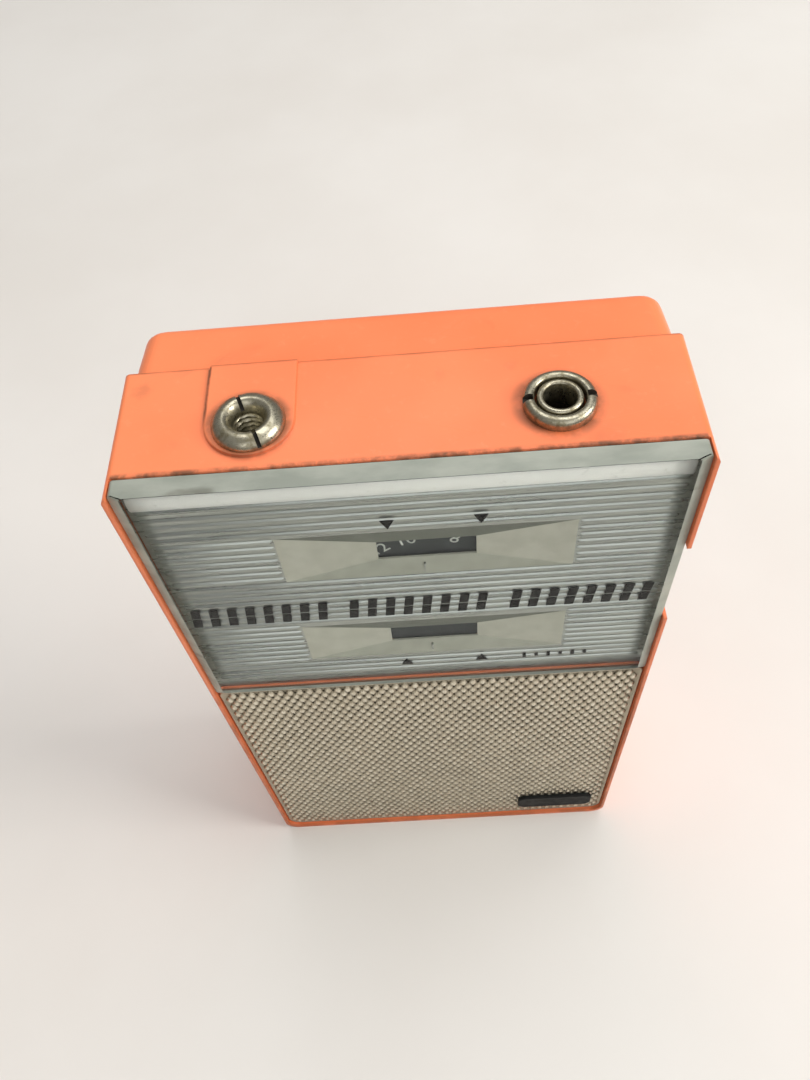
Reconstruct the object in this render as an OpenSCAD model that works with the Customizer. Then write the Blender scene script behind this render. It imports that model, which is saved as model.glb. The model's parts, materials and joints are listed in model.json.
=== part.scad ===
// Two-band transistor pocket radio, upright, front towards -Y.
// Every module is drawn with y counted back from the front rim of the case,
// and in_frame() moves it so that the origin is the middle of the base.

/* [Case] */
// Width of the case across the front
case_w = 64; // [62:0.5:68]
// Height of the case
case_h = 112; // [110:0.5:120]
// Depth from the front rim to the flat of the rear cover
case_d = 27; // [27:0.5:32]
// Depth of the front shell, to the parting line
shell_d = 18.2; // [18.2:0.1:19]
// Wall thickness of the two shells
wall = 1.6; // [1.4:0.1:1.8]
// How far the rear cover is set in behind the parting line
cover_inset = 0.5; // [0.4:0.1:1.2]
// Radius of the rear cover's back edge
cover_edge_r = 2; // [1.75:0.25:3.5]

/* [Front] */
// Height of the clear dial lens
lens_h = 48.3; // [46:0.1:50]
// Thickness of the lens
lens_t = 2.75; // [2.2:0.05:2.8]
// Sheet thickness of the dial plate
plate_t = 0.4; // [0.3:0.05:0.45]
// Width of one dial window opening
window_w = 11.8; // [9:0.1:13]
// Height of one dial window opening
window_h = 3.55; // [3:0.05:4]
// Diagonal pitch of the holes in the speaker grille
grille_pitch = 2.6; // [2.4:0.1:4]
// Width of the badge
badge_w = 14.2; // [8:0.1:16]
// Height of the badge
badge_h = 5.2; // [3:0.1:6]

/* [Top fittings] */
// Distance of the antenna socket and of the jack from the middle
fitting_x = 16.8; // [15.8:0.1:17]
// Depth of both fittings behind the front rim
fitting_y = 8.9; // [8.5:0.1:9]
// Radius of the earphone jack's bore
jack_bore_r = 1.78; // [1.76:0.01:1.85]
// Radius of the antenna socket's threaded hole
antenna_bore_r = 1.7; // [1.4:0.05:2]

/* [Thumbwheels] */
// Radius of the tuning thumbwheel over its ridges
tuning_r = 11.05; // [10.9:0.05:11.2]
// Radius of the volume thumbwheel over its ridges
volume_r = 10; // [9.8:0.05:10.1]

/* [Speaker] */
// Height of the speaker's centre above the base
speaker_z = 42; // [42:0.1:42.4]
// Radius of the speaker's flange
speaker_r = 20; // [19.5:0.1:20.2]

/* [Hidden] */
$fn = 48;
eps = 0.01;
// Gear train between the tuning wheel and the dial
gear_module = 0.5;
dial_teeth = 60;
pinion_teeth = 20;
half_w = case_w / 2;
inner_x = half_w - wall;
top_wall = 1.8;
cover_draft = 0.3;                   // how far the rear cover's sides lean in
inner_top = case_h - top_wall;
lens_x = half_w - 0.6;
lens_bottom = case_h - lens_h;
lens_lip = 2.9;                      // depth at which the top wall begins, behind the lens
plate_y = 2.95;                      // front face of the dial plate
plate_x = half_w - 1.25;
plate_top = case_h - 0.9;
fascia_y = 3.4;                      // front face of the panel behind the dial plate
fascia_back = 4.2;
baffle_y = 1.8;                      // front face of the panel behind the grille
baffle_back = 3.4;
grille_x = half_w - 0.6;
grille_bottom = 0.7;
grille_top = lens_bottom - 0.3;
grille_corner_r = 2.2;               // of its two lower corners
case_corner_r = 2.7;                 // of the case's two lower corners
// Dial and tuning axes
dial_x = 1.45;
axis_z = case_h - 25.3;
dial_pitch_r = gear_module * dial_teeth / 2;
pinion_pitch_r = gear_module * pinion_teeth / 2;
tuning_x = dial_x + dial_pitch_r + pinion_pitch_r;
volume_x = -(half_w + 0.5 - volume_r);
volume_z = case_h - 42;
window_x = 1.4;
upper_window_z = case_h - 16.2;
lower_window_z = case_h - 36.65;
// Layers behind the dial plate
disc_y = 4.5;
gear_y = 5.1;
gear_back = 6.1;
pinion_back = 6.3;
tuning_back = 8.7;
board_y = 9.3;
board_back = 10.7;
volume_y = 15.4;
volume_back = 17.8;
board_bottom = case_h - 58;
board_top = case_h - 15;
board_x = 29;
ferrite_z = case_h - 8.8;
ferrite_y = 19;
ferrite_r = 4;
// Battery bay
battery_x0 = -24.5;
battery_l = 46.5;
battery_y = 7.2;
battery_d = 17.5;
battery_z = 3.6;
battery_h = 26.5;
// Fastener places, as [x, z]
board_bosses = [[-26.5, case_h - 29], [-26.5, board_bottom + 4], [26, board_bottom + 4]];
cover_boss = [-24, speaker_z];
clip_angles = [40, 140, 270];
switch_at = [20, case_h - 46];
slider_travel = 3.2;

// Colours
orange = [0.98, 0.55, 0.36];
clear = [0.85, 0.9, 0.85, 0.35];
aluminium = [0.8, 0.8, 0.78];
nickel = [0.72, 0.69, 0.62];
brass = [0.8, 0.66, 0.35];
steel = [0.66, 0.67, 0.68];
black = [0.08, 0.08, 0.08];
board_brown = [0.62, 0.42, 0.2];

// ---------------------------------------------------------------- helpers

module in_frame() translate([0, -case_d / 2, 0]) children();

// Box given by its two corners
module block(low, high) translate(low) cube(high - low);

// Cylinder along Y from depth y0 to y1, on the axis [x, z]
module rod_y(r, y0, y1, at) translate([at[0], y1, at[1]]) rotate([90, 0, 0]) cylinder(r = r, h = y1 - y0);

// Cylinder along Z from z0 to z1, on the axis [x, y]
module rod_z(r, z0, z1, at) translate([at[0], at[1], z0]) cylinder(r = r, h = z1 - z0);

// Cylinder along X from x0 to x1, on the axis [y, z]
module rod_x(r, x0, x1, at) translate([x0, at[0], at[1]]) rotate([0, 90, 0]) cylinder(r = r, h = x1 - x0);

// A flat outline drawn in X and Z, thickened from depth y0 to y1
module slab(y0, y1) translate([0, y1, 0]) rotate([90, 0, 0]) linear_extrude(y1 - y0) children();

// A profile of [radius, depth] points turned about the axis [x, z] along Y
module turned(at, points) translate([at[0], 0, at[1]]) rotate([-90, 0, 0]) rotate_extrude() polygon(points);

// Rectangle from z0 to z1, centred on x, with round corners
module round_rect(w, z0, z1, r) {
    translate([-w / 2 + r, z0]) square([w - 2 * r, z1 - z0]);
    translate([-w / 2, z0 + r]) square([w, z1 - z0 - 2 * r]);
    for (sx = [-1, 1], z = [z0 + r, z1 - r]) translate([sx * (w / 2 - r), z]) circle(r = r, $fn = 32);
}

// Unit vector along v
function unit(v) = v / norm(v);

// A route with each inner corner cut back to two points, c from the corner
function eased(points, c) = let (last = len(points) - 1)
    [for (i = [0 : last]) each (i == 0 || i == last) ? [points[i]] :
        [points[i] - c * unit(points[i] - points[i - 1]), points[i] + c * unit(points[i + 1] - points[i])]];

// Insulated wire: an eight-sided tube swept along a route
module wire(r, points) {
    p = eased(points, 0.6);
    last = len(p) - 1;
    sides = 8;
    rings = [for (i = [0 : last])
        let (t = unit(p[min(i + 1, last)] - p[max(i - 1, 0)]),
             u = unit(cross(t, [0.37, 0.21, 0.9])),
             v = cross(t, u))
        for (k = [0 : sides - 1]) p[i] + r * (u * cos(360 * k / sides) + v * sin(360 * k / sides))];
    walls = [for (i = [0 : last - 1], k = [0 : sides - 1])
        let (a = i * sides + k, b = i * sides + (k + 1) % sides)
        each [[a, a + sides, b], [b, a + sides, b + sides]]];
    ends = [[for (k = [0 : sides - 1]) k], [for (k = [sides - 1 : -1 : 0]) last * sides + k]];
    polyhedron(rings, concat(walls, ends));
}

// Screw along Y: a slotted head whose underside is at y_head, and a shank towards the front
module screw_y(at, y_head, head_r, head_t, shank_r, shank_l) {
    difference() {
        rod_y(head_r, y_head, y_head + head_t, at);
        translate([at[0], 0, at[1]])
            block([-head_r - 1, y_head + head_t * 0.45, -head_r * 0.14],
                  [head_r + 1, y_head + head_t + 1, head_r * 0.14]);
    }
    rod_y(shank_r, y_head - shank_l, y_head, at);
}

// Outline of a gear with straight-sided teeth, one of them centred on +X
function gear_points(teeth) = let (pitch_r = gear_module * teeth / 2, step = 360 / teeth)
    [for (i = [0 : teeth - 1], k = [0 : 3])
        let (r = (k == 0 || k == 3) ? pitch_r - 1.2 * gear_module : pitch_r + 0.85 * gear_module,
             half = (k == 0 || k == 3) ? 0.46 : 0.17,
             side = k < 2 ? -1 : 1)
        [r * cos(i * step + side * half / r * 180 / PI), r * sin(i * step + side * half / r * 180 / PI)]];

// Outline of a ridged thumbwheel
function ridge_points(r, ridges, depth) =
    [for (i = [0 : ridges - 1], k = [0 : 3])
        let (a = (i + [-0.3, -0.14, 0.14, 0.3][k]) * 360 / ridges, rr = (k == 1 || k == 2) ? r : r - depth)
        [rr * cos(a), rr * sin(a)]];

module ridged_wheel(at, y0, y1, r, ridges) {
    translate([at[0], y1, at[1]]) rotate([90, 0, 0])
        linear_extrude(y1 - y0) polygon(ridge_points(r, ridges, 0.4));
}

// ---------------------------------------------------------------- case

module case_outline() {
    intersection() {
        round_rect(case_w, 0, case_h, case_corner_r);
        translate([-half_w, -eps]) square([case_w, case_h - 3]);
    }
    intersection() {
        round_rect(case_w, 0, case_h, 0.8);
        translate([-half_w, case_h / 2]) square([case_w, case_h]);
    }
}

module shell_cavity() {
    block([-inner_x, baffle_back, wall], [inner_x, shell_d + 1, lens_bottom - 1]);
    block([-inner_x, fascia_back, lens_bottom - 2], [inner_x, shell_d + 1, inner_top]);
}

// The grille's outline: round below, square under the lens
module grille_outline(grow, top) {
    intersection() {
        round_rect(2 * (grille_x + grow), grille_bottom - grow, lens_bottom + 5, grille_corner_r + grow);
        translate([-half_w, 0]) square([case_w, top]);
    }
}

module front_pockets() {
    block([-lens_x - 0.1, -1, lens_bottom - 0.1], [lens_x + 0.1, lens_lip, case_h + 1]);
    block([-plate_x - 0.15, 2, lens_bottom], [plate_x + 0.15, fascia_y, plate_top + 0.15]);
    slab(-1, baffle_y) grille_outline(0.1, lens_bottom);
    block([-16, 3, axis_z - 16.5], [19, 5, axis_z + 16.8]);
    rod_y(17.6, 1, 4, [0, speaker_z]);
}

module side_openings() {
    block([inner_x - 1, -1, axis_z - 7.7], [half_w + 1, tuning_back + 0.5, axis_z + 8.8]);
    block([-half_w - 1, volume_y - 0.4, volume_z - 6.9], [-inner_x + 1, shell_d + 1, volume_z + 6.9]);
}

// Raised U-shaped pad under the antenna socket, 0.4 mm high
module antenna_pad() {
    translate([-fitting_x, 0, case_h - 1]) linear_extrude(1.4) {
        translate([0, fitting_y + 0.6]) circle(r = 5);
        translate([-5, fitting_y + 0.6]) square([10, shell_d - fitting_y - 0.6]);
    }
}

module case_bosses() {
    for (at = board_bosses) rod_y(2.6, baffle_back - 0.4, board_y, at);
    rod_y(3, baffle_back - 0.4, 17.2, cover_boss);
    for (a = clip_angles) rod_y(1.6, baffle_back - 0.4, 4.1, clip_at(a));
}

function clip_at(a) = [(speaker_r + 2) * cos(a), speaker_z + (speaker_r + 2) * sin(a)];

module battery_ribs() {
    for (s = [-1, 1]) {
        block([min(s * 13, s * (inner_x + 0.5)), 5.2, battery_z + battery_h + 0.4],
              [max(s * 13, s * (inner_x + 0.5)), 16.2, battery_z + battery_h + 1.4]);
        block([s * 20 - 0.6, baffle_back - 0.4, wall - 0.4], [s * 20 + 0.6, 6.4, 20]);
    }
    block([battery_x0 - 1.4, 6.6, wall - 0.4], [battery_x0 - 0.3, 16.2, 14]);
}

module front_case() {
    color(orange) in_frame() difference() {
        union() {
            difference() {
                slab(0, shell_d) case_outline();
                shell_cavity();
            }
            antenna_pad();
            case_bosses();
            battery_ribs();
        }
        front_pockets();
        side_openings();
        rod_z(3.1, inner_top - 1, case_h + 2, [-fitting_x, fitting_y]);
        rod_z(2.75, inner_top - 1, case_h + 2, [fitting_x, fitting_y]);
        for (at = board_bosses) rod_y(1.0, 5.5, board_y + 1, at);
        rod_y(1.35, 8, 18, cover_boss);
        for (a = clip_angles) rod_y(0.85, baffle_y + 0.4, 5, clip_at(a));
    }
}

// One level of the rear cover's pillow shape, inset from the case outline
module cover_level(y, inset, r) {
    slab(y, y + 0.02) round_rect(case_w - 2 * inset, inset, case_h - inset, r);
}

// Pillow solid: a slightly drafted side, then a rounded edge up to the flat back
module pillow(y0, y1, inset, edge_r) {
    hull() {
        cover_level(y0, inset, 2.2);
        for (a = [0 : 15 : 90])
            cover_level(y1 - edge_r + edge_r * sin(a) - 0.02,
                        inset + cover_draft + edge_r * (1 - cos(a)), 2.4);
    }
}

module cover_lip() {
    difference() {
        slab(16.7, shell_d + 1) round_rect(2 * inner_x - 0.6, wall + 0.3, inner_top - 0.3, 1.2);
        slab(16, shell_d + 2) round_rect(2 * inner_x - 2.4, wall + 1.2, inner_top - 1.2, 0.8);
        block([-half_w, 16, volume_z - 8.2], [-20, shell_d + 0.1, volume_z + 8.2]);
    }
}

module rear_cover() {
    color(orange) in_frame() difference() {
        union() {
            difference() {
                pillow(shell_d + 0.1, case_d, cover_inset, cover_edge_r);
                pillow(shell_d - 1, case_d - wall, cover_inset + wall + 0.5, cover_edge_r - 1.2);
            }
            cover_lip();
            rod_y(4.6, 20, case_d - 1, cover_boss);
            for (x = [-15, 12])
                block([x, battery_y + battery_d + 0.2, 8], [x + 1.2, case_d - wall + 0.3, 26]);
        }
        rod_y(1.9, 19, case_d + 1, cover_boss);
        rod_y(3.6, case_d - 2.2, case_d + 1, cover_boss);
        block([switch_at[0] - 2.6, 24, switch_at[1] - 3.4],
              [switch_at[0] + 2.6, case_d + 1, switch_at[1] + slider_travel + 3.4]);
    }
}

// Captive coin screw: its head sits in the cover, its shank reaches the boss behind the baffle
module cover_screw() {
    color(nickel) in_frame() difference() {
        union() {
            rod_y(3.3, case_d - 2.1, case_d - 0.3, cover_boss);
            rod_y(1.5, 17.6, case_d - 2.05, cover_boss);
            rod_y(1.25, 9.5, 17.7, cover_boss);
        }
        translate([cover_boss[0], 0, cover_boss[1]]) block([-4, case_d - 1.3, -0.55], [4, case_d, 0.55]);
    }
}

// ---------------------------------------------------------------- front furniture

module dial_lens() {
    color(clear) in_frame() intersection() {
        block([-lens_x, 0, lens_bottom], [lens_x, lens_t, case_h]);
        translate([0, 0, lens_bottom]) hull() {
            block([-lens_x, lens_t - 0.6, 0], [lens_x, lens_t, lens_h]);
            block([-lens_x, 0.9, 0], [lens_x, 1.0, lens_h - 0.3]);
            block([-lens_x + 1, 0, 0.8], [lens_x - 1, 0.1, lens_h - 2.2]);
        }
    }
}

// Pyramid recess round a window: shallow wedge from the outer rectangle down to the opening
module window_funnel(z, grow, y0, y1) {
    translate([0, 0, z]) hull() {
        block([window_x - 17.5 - grow, y0, -4.6 - grow], [window_x + 17.5 + grow, y0 + 0.02, 4.6 + grow]);
        block([window_x - window_w / 2 - grow, y1 - 0.02, -window_h / 2 - grow],
              [window_x + window_w / 2 + grow, y1, window_h / 2 + grow]);
    }
}

module dial_plate() {
    color(aluminium) in_frame() difference() {
        union() {
            block([-plate_x, plate_y, lens_bottom + 0.2], [plate_x, plate_y + plate_t, plate_top]);
            for (z = [upper_window_z, lower_window_z])
                window_funnel(z, 0.35, plate_y + 0.2, plate_y + plate_t + 0.5);
        }
        for (z = [upper_window_z, lower_window_z]) {
            window_funnel(z, 0, plate_y - 0.02, plate_y + plate_t + 0.1);
            block([window_x - window_w / 2, plate_y, z - window_h / 2],
                  [window_x + window_w / 2, plate_y + 2, z + window_h / 2]);
        }
    }
}

module grille_holes() {
    step = grille_pitch / sqrt(2);
    count = floor(speaker_r * 0.85 / step);
    for (i = [-count : count], j = [-count : count])
        if ((i + j) % 2 == 0 && norm([i * step, j * step]) < speaker_r * 0.85)
            translate([i * step, speaker_z + j * step]) rotate(45) square(grille_pitch * 0.46, center = true);
}

// Perforated sheet with its four edges folded back
module speaker_grille() {
    color([0.72, 0.66, 0.56]) in_frame() {
        slab(0.5, 0.9) difference() {
            grille_outline(0, grille_top);
            grille_holes();
        }
        difference() {
            slab(0.9, 1.7) grille_outline(0, grille_top);
            slab(0.8, 1.8) grille_outline(-0.4, grille_top - 0.4);
        }
    }
}

// Blank badge low on the right of the grille
module badge() {
    color(black) in_frame() slab(-0.1, 0.5)
        translate([21.9 - badge_w / 2, 7.5 - badge_h / 2]) square([badge_w, badge_h]);
}

// ---------------------------------------------------------------- top fittings

module antenna_socket() {
    at = [-fitting_x, fitting_y];
    base = case_h + 0.4;
    color(nickel) in_frame() difference() {
        union() {
            translate([at[0], at[1], base]) rotate_extrude()
                polygon([[0, 0], [4.1, 0], [4.1, 0.35], [3.75, 0.85], [3.1, 1.25], [2.5, 1.4], [0, 1.4]]);
            rod_z(3.0, case_h - 8.5, base + 0.1, at);
        }
        rod_z(antenna_bore_r, case_h - 9, base + 2, at);
        translate([at[0], at[1], base + 0.7]) cylinder(r1 = antenna_bore_r, r2 = 2.5, h = 0.8);
        translate([at[0], at[1], base + 1]) rotate(112) cube([9, 0.5, 1], center = true);
    }
}

module antenna_nut() {
    color(brass) in_frame() translate([-fitting_x, fitting_y, inner_top - 2.8]) difference() {
        cylinder(r = 4.2, h = 2, $fn = 6);
        translate([0, 0, -1]) cylinder(r = 3.03, h = 4);
    }
}

module antenna_lug() {
    color(nickel) in_frame() translate([-fitting_x, fitting_y, inner_top - 0.7]) difference() {
        union() {
            cylinder(r = 4.1, h = 0.6);
            translate([-1.2, 3, 0]) cube([2.4, 3.6, 0.6]);
        }
        translate([0, 0, -1]) cylinder(r = 3.03, h = 3);
    }
}

module jack_nut() {
    color(nickel) in_frame() translate([fitting_x, fitting_y, case_h]) difference() {
        rotate_extrude() polygon([[2.75, 0], [4.0, 0], [4.0, 1.1], [3.7, 1.45], [2.95, 1.45], [2.75, 1.2]]);
        for (s = [-1, 1]) translate([s * 3.9, 0, 1.5]) cube([1.5, 0.9, 1.8], center = true);
    }
}

module jack_body() {
    at = [fitting_x, fitting_y];
    color([0.25, 0.24, 0.23]) in_frame() difference() {
        union() {
            rod_z(2.48, inner_top - 1, case_h + 1.35, at);
            translate([fitting_x - 4.5, fitting_y - 4, inner_top - 2.6]) cube([9, 8.5, 2.5]);
            for (x = [-4.5, 3.1])
                translate([fitting_x + x, fitting_y - 4, inner_top - 11.2]) cube([1.4, 8.3, 8.7]);
        }
        rod_z(jack_bore_r, inner_top - 4, case_h + 3, at);
    }
}

// Three springy leaves under the jack's bushing: sleeve, tip and switch contact
module jack_contacts() {
    color(brass) in_frame() for (x = [-2.3, 2.1, 2.8])
        translate([fitting_x + x, fitting_y - 1.2, inner_top - 11.7]) cube([0.3, 2.4, x > 2.5 ? 7.6 : 9]);
}

// ---------------------------------------------------------------- tuning train

module tuning_wheel() {
    color([0.2, 0.2, 0.2]) in_frame() difference() {
        ridged_wheel([tuning_x, axis_z], pinion_back, tuning_back, tuning_r, 48);
        rod_y(1.56, 0, board_y, [tuning_x, axis_z]);
        turned([tuning_x, axis_z],
               [[3.5, tuning_back - 0.9], [9, tuning_back - 0.9], [9, board_y], [3.5, board_y]]);
    }
}

module tuning_pinion() {
    color([0.9, 0.88, 0.8]) in_frame() difference() {
        translate([tuning_x, pinion_back, axis_z]) rotate([90, 0, 0])
            linear_extrude(pinion_back - gear_y + 0.05)
                rotate(180 / pinion_teeth) polygon(gear_points(pinion_teeth));
        rod_y(1.56, 0, board_y, [tuning_x, axis_z]);
    }
}

module tuning_stud() {
    color(steel) in_frame() {
        rod_y(1.5, gear_y - 0.15, board_back + 0.3, [tuning_x, axis_z]);
        rod_y(2.6, gear_y - 0.6, gear_y - 0.15, [tuning_x, axis_z]);
        rod_y(2.4, tuning_back + 0.1, board_y, [tuning_x, axis_z]);
        rod_y(2.4, board_back, board_back + 0.5, [tuning_x, axis_z]);
    }
}

module dial_disc() {
    color([0.2, 0.2, 0.2]) in_frame() difference() {
        rod_y(13.4, disc_y, gear_y, [dial_x, axis_z], $fn = 96);
        rod_y(1.15, 0, 8, [dial_x, axis_z]);
    }
}

module dial_gear() {
    color([0.9, 0.88, 0.8]) in_frame() difference() {
        union() {
            translate([dial_x, gear_back, axis_z]) rotate([90, 0, 0])
                linear_extrude(gear_back - gear_y) polygon(gear_points(dial_teeth));
            rod_y(5, gear_back - 0.1, 8.2, [dial_x, axis_z]);
        }
        rod_y(1.15, 4, 6.5, [dial_x, axis_z]);
        rod_y(3.03, 6.3, 9, [dial_x, axis_z]);
    }
}

module dial_screw() {
    color(brass) in_frame() difference() {
        union() {
            rod_y(2.6, disc_y - 0.75, disc_y, [dial_x, axis_z]);
            rod_y(1.1, disc_y - 0.1, 10, [dial_x, axis_z]);
        }
        translate([dial_x, disc_y - 0.8, axis_z]) cube([6, 0.7, 0.6], center = true);
    }
}

module varicon_shaft() {
    color(brass) in_frame() difference() {
        rod_y(3, 6.35, 13, [dial_x, axis_z]);
        rod_y(1.13, 6, 10.4, [dial_x, axis_z]);
    }
}

module varicon_body() {
    color([0.88, 0.86, 0.78]) in_frame() difference() {
        union() {
            block([dial_x - 10, board_back, axis_z - 10], [dial_x + 10, 20.6, axis_z + 10]);
            rod_y(4.2, board_y - 0.9, board_back + 0.1, [dial_x, axis_z]);
            for (a = [45 : 90 : 315]) rod_y(2.8, 20.5, 21.2, [dial_x + 9 * cos(a), axis_z + 9 * sin(a)]);
            for (x = [-6, 0, 6])
                block([dial_x + x - 0.8, 12, axis_z - 12.2], [dial_x + x + 0.8, 12.3, axis_z - 9.9]);
        }
        rod_y(3.06, board_y - 2, 13.3, [dial_x, axis_z]);
        for (s = [-1, 1]) rod_y(1.05, board_y, 13.5, [dial_x + s * 6.5, axis_z]);
        for (a = [45 : 90 : 315]) rod_y(1.0, 20, 22, [dial_x + 9 * cos(a), axis_z + 9 * sin(a)]);
    }
}

module varicon_screws() {
    color(steel) in_frame() for (s = [-1, 1]) difference() {
        union() {
            rod_y(1.9, board_y - 0.8, board_y, [dial_x + s * 6.5, axis_z]);
            rod_y(0.98, board_y - 0.1, 13.4, [dial_x + s * 6.5, axis_z]);
        }
        translate([dial_x + s * 6.5, board_y - 0.8, axis_z]) cube([5, 0.8, 0.5], center = true);
    }
}

// Brass trimmer screws in the four corners of the variable capacitor's back
module varicon_trimmers() {
    color(brass) in_frame() for (a = [45 : 90 : 315])
        translate([dial_x + 9 * cos(a), 0, axis_z + 9 * sin(a)]) difference() {
            union() {
                rod_y(0.95, 20.1, 21.4, [0, 0]);
                rod_y(1.7, 21.2, 22, [0, 0]);
            }
            translate([0, 22, 0]) rotate([0, a, 0]) cube([5, 0.8, 0.45], center = true);
        }
}

// ---------------------------------------------------------------- volume and band switch

module volume_wheel() {
    color([0.2, 0.2, 0.2]) in_frame() difference() {
        ridged_wheel([volume_x, volume_z], volume_y, volume_back, volume_r, 44);
        rod_y(3.03, 10, volume_y + 1.5, [volume_x, volume_z]);
        rod_y(1.15, 10, 20, [volume_x, volume_z]);
        turned([volume_x, volume_z],
               [[4.4, volume_back - 0.7], [8.2, volume_back - 0.7], [8.2, 20], [4.4, 20]]);
    }
}

module volume_screw() {
    color(brass) in_frame() {
        screw_y([volume_x, volume_z], volume_back, 2.5, 0.9, 1.1, 4.5);
    }
}

module volume_shaft() {
    color(brass) in_frame() difference() {
        rod_y(3, 12.5, volume_y + 1.45, [volume_x, volume_z]);
        rod_y(1.13, 13, 20, [volume_x, volume_z]);
    }
}

module volume_pot() {
    color([0.7, 0.66, 0.55]) in_frame() difference() {
        union() {
            rod_y(8, board_back, 14.6, [volume_x + 1.2, volume_z]);
            rod_y(4.2, 14.5, 15.1, [volume_x, volume_z]);
            for (z = [-5.1, -1.7, 1.7, 5.1])
                block([volume_x + 6, board_back, volume_z + z - 0.7],
                      [volume_x + 11, board_back + 0.4, volume_z + z + 0.7]);
        }
        rod_y(3.06, 12.3, 16, [volume_x, volume_z]);
    }
}

module band_switch_body() {
    at = switch_at;
    mid_z = at[1] + slider_travel / 2;
    color(steel) in_frame() difference() {
        union() {
            block([at[0] - 4.2, board_back + 1.2, mid_z - 8], [at[0] + 4.2, 17.6, mid_z + 8]);
            for (sx = [-1, 1], z = [-5, 0, 5])
                translate([at[0] + sx * 2.6 - 0.4, board_back, mid_z + z - 0.4]) cube([0.8, 1.3, 0.8]);
        }
        block([at[0] - 3.4, 13.6, mid_z - 6.9], [at[0] + 3.4, 17, mid_z + 6.9]);
        block([at[0] - 1.8, 16, mid_z - 4.2], [at[0] + 1.8, 18, mid_z + 4.2]);
    }
}

module band_slider() {
    at = switch_at;
    color([0.12, 0.12, 0.12]) in_frame() {
        block([at[0] - 3.2, 14, at[1] - 3.6], [at[0] + 3.2, 16.8, at[1] + 3.6]);
        block([at[0] - 1.6, 16.7, at[1] - 2.3], [at[0] + 1.6, 22.6, at[1] + 2.3]);
        block([at[0] - 2.2, 22.5, at[1] - 2.9], [at[0] + 2.2, case_d - 0.4, at[1] + 2.9]);
        for (z = [-2, 0, 2])
            block([at[0] - 2.2, case_d - 0.5, at[1] + z - 0.4], [at[0] + 2.2, case_d + 0.3, at[1] + z + 0.4]);
    }
}

// ---------------------------------------------------------------- speaker

speaker_at = [0, speaker_z];

module speaker_frame() {
    color(steel) in_frame() difference() {
        turned(speaker_at, [[speaker_r, 3.4], [speaker_r, 4.1], [17.4, 4.1], [17.2, 4.6], [11.3, 7.5],
                            [11, 9.9], [4.4, 9.9], [4.4, 9.3], [10.4, 9.3], [10.6, 7.1], [16.6, 4.3],
                            [16.6, 4.0], [17.0, 3.4]]);
        for (a = [0 : 60 : 300])
            translate([0, 0, speaker_z]) rotate([0, a, 0]) block([-2.8, 4.8, 11.6], [2.8, 9, 15.4]);
    }
}

// Corrugated paper ring that hangs the cone in the frame
module speaker_surround() {
    color([0.16, 0.15, 0.14]) in_frame()
        turned(speaker_at, [[17.5, 3.4], [17.5, 3.0], [17.2, 2.7], [16.8, 2.7], [16.6, 3.0], [16.6, 3.4]]);
}

module speaker_cone() {
    color([0.2, 0.18, 0.16]) in_frame()
        turned(speaker_at, [[16.2, 3.1], [16.2, 3.5], [4.0, 8.2], [2.0, 7.2],
                            [0, 6.8], [0, 6.5], [2.1, 6.9], [4.0, 7.7]]);
}

module voice_coil() {
    color([0.7, 0.4, 0.2]) in_frame() turned(speaker_at, [[3.3, 8.0], [3.9, 8.2], [3.9, 12.5], [3.3, 12.5]]);
}

// Soft-iron pot with its top plate, and the magnet slug with pole tip inside it
module speaker_yoke() {
    color(steel) in_frame()
        turned(speaker_at, [[4.3, 9.9], [10, 9.9], [10, 18], [0, 18],
                            [0, 16.5], [8.4, 16.5], [8.4, 11.4], [4.3, 11.4]]);
}

module speaker_magnet() {
    color([0.35, 0.35, 0.37]) in_frame()
        turned(speaker_at, [[0, 9.2], [2.9, 9.2], [2.9, 13.6], [5.2, 13.6], [5.2, 16.5], [0, 16.5]]);
}

module speaker_clips() {
    color(steel) in_frame() for (a = clip_angles) difference() {
        hull() {
            rod_y(2.1, 4.1, 4.6, clip_at(a), $fn = 32);
            rod_y(1.4, 4.1, 4.6, [(speaker_r - 1) * cos(a), speaker_z + (speaker_r - 1) * sin(a)], $fn = 32);
        }
        rod_y(0.9, 4, 6, clip_at(a));
    }
}

module speaker_screws() {
    color(steel) in_frame() for (a = clip_angles) screw_y(clip_at(a), 4.6, 1.7, 0.8, 0.8, 2.2);
}

// Fibre strip with two solder tags on the frame's upper edge
module speaker_terminals() {
    color([0.5, 0.3, 0.15]) in_frame() {
        block([-6, 4.1, speaker_z + 17.6], [6, 4.7, speaker_z + 19.8]);
        for (s = [-1, 1]) block([s * 4 - 0.8, 4.7, speaker_z + 18], [s * 4 + 0.8, 5, speaker_z + 19.4]);
    }
}

// ---------------------------------------------------------------- circuit board

module circuit_board() {
    color(board_brown) in_frame() difference() {
        slab(board_y, board_back) difference() {
            translate([-board_x, board_bottom]) square([2 * board_x, board_top - board_bottom]);
            translate([-board_x - 1, board_top - 1.5]) square([2.5, 3]);
        }
        for (at = board_bosses) rod_y(1.2, 9, 11, at);
        rod_y(4.25, 9, 11, [dial_x, axis_z]);
        for (s = [-1, 1]) rod_y(1.05, 9, 11, [dial_x + s * 6.5, axis_z]);
        rod_y(1.52, 9, 11, [tuning_x, axis_z]);
    }
}

module board_screws() {
    color(steel) in_frame() for (at = board_bosses) screw_y(at, board_back, 2.2, 1.1, 0.95, 4.8);
}

module ferrite_rod() {
    color([0.22, 0.2, 0.2]) in_frame() rod_x(ferrite_r, -27.5, 27.5, [ferrite_y, ferrite_z]);
}

module ferrite_coils() {
    color([0.75, 0.45, 0.2]) in_frame() for (span = [[-15, -2], [7, 13]]) difference() {
        rod_x(4.9, span[0], span[1], [ferrite_y, ferrite_z]);
        rod_x(4.1, span[0] - 1, span[1] + 1, [ferrite_y, ferrite_z]);
    }
}

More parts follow.
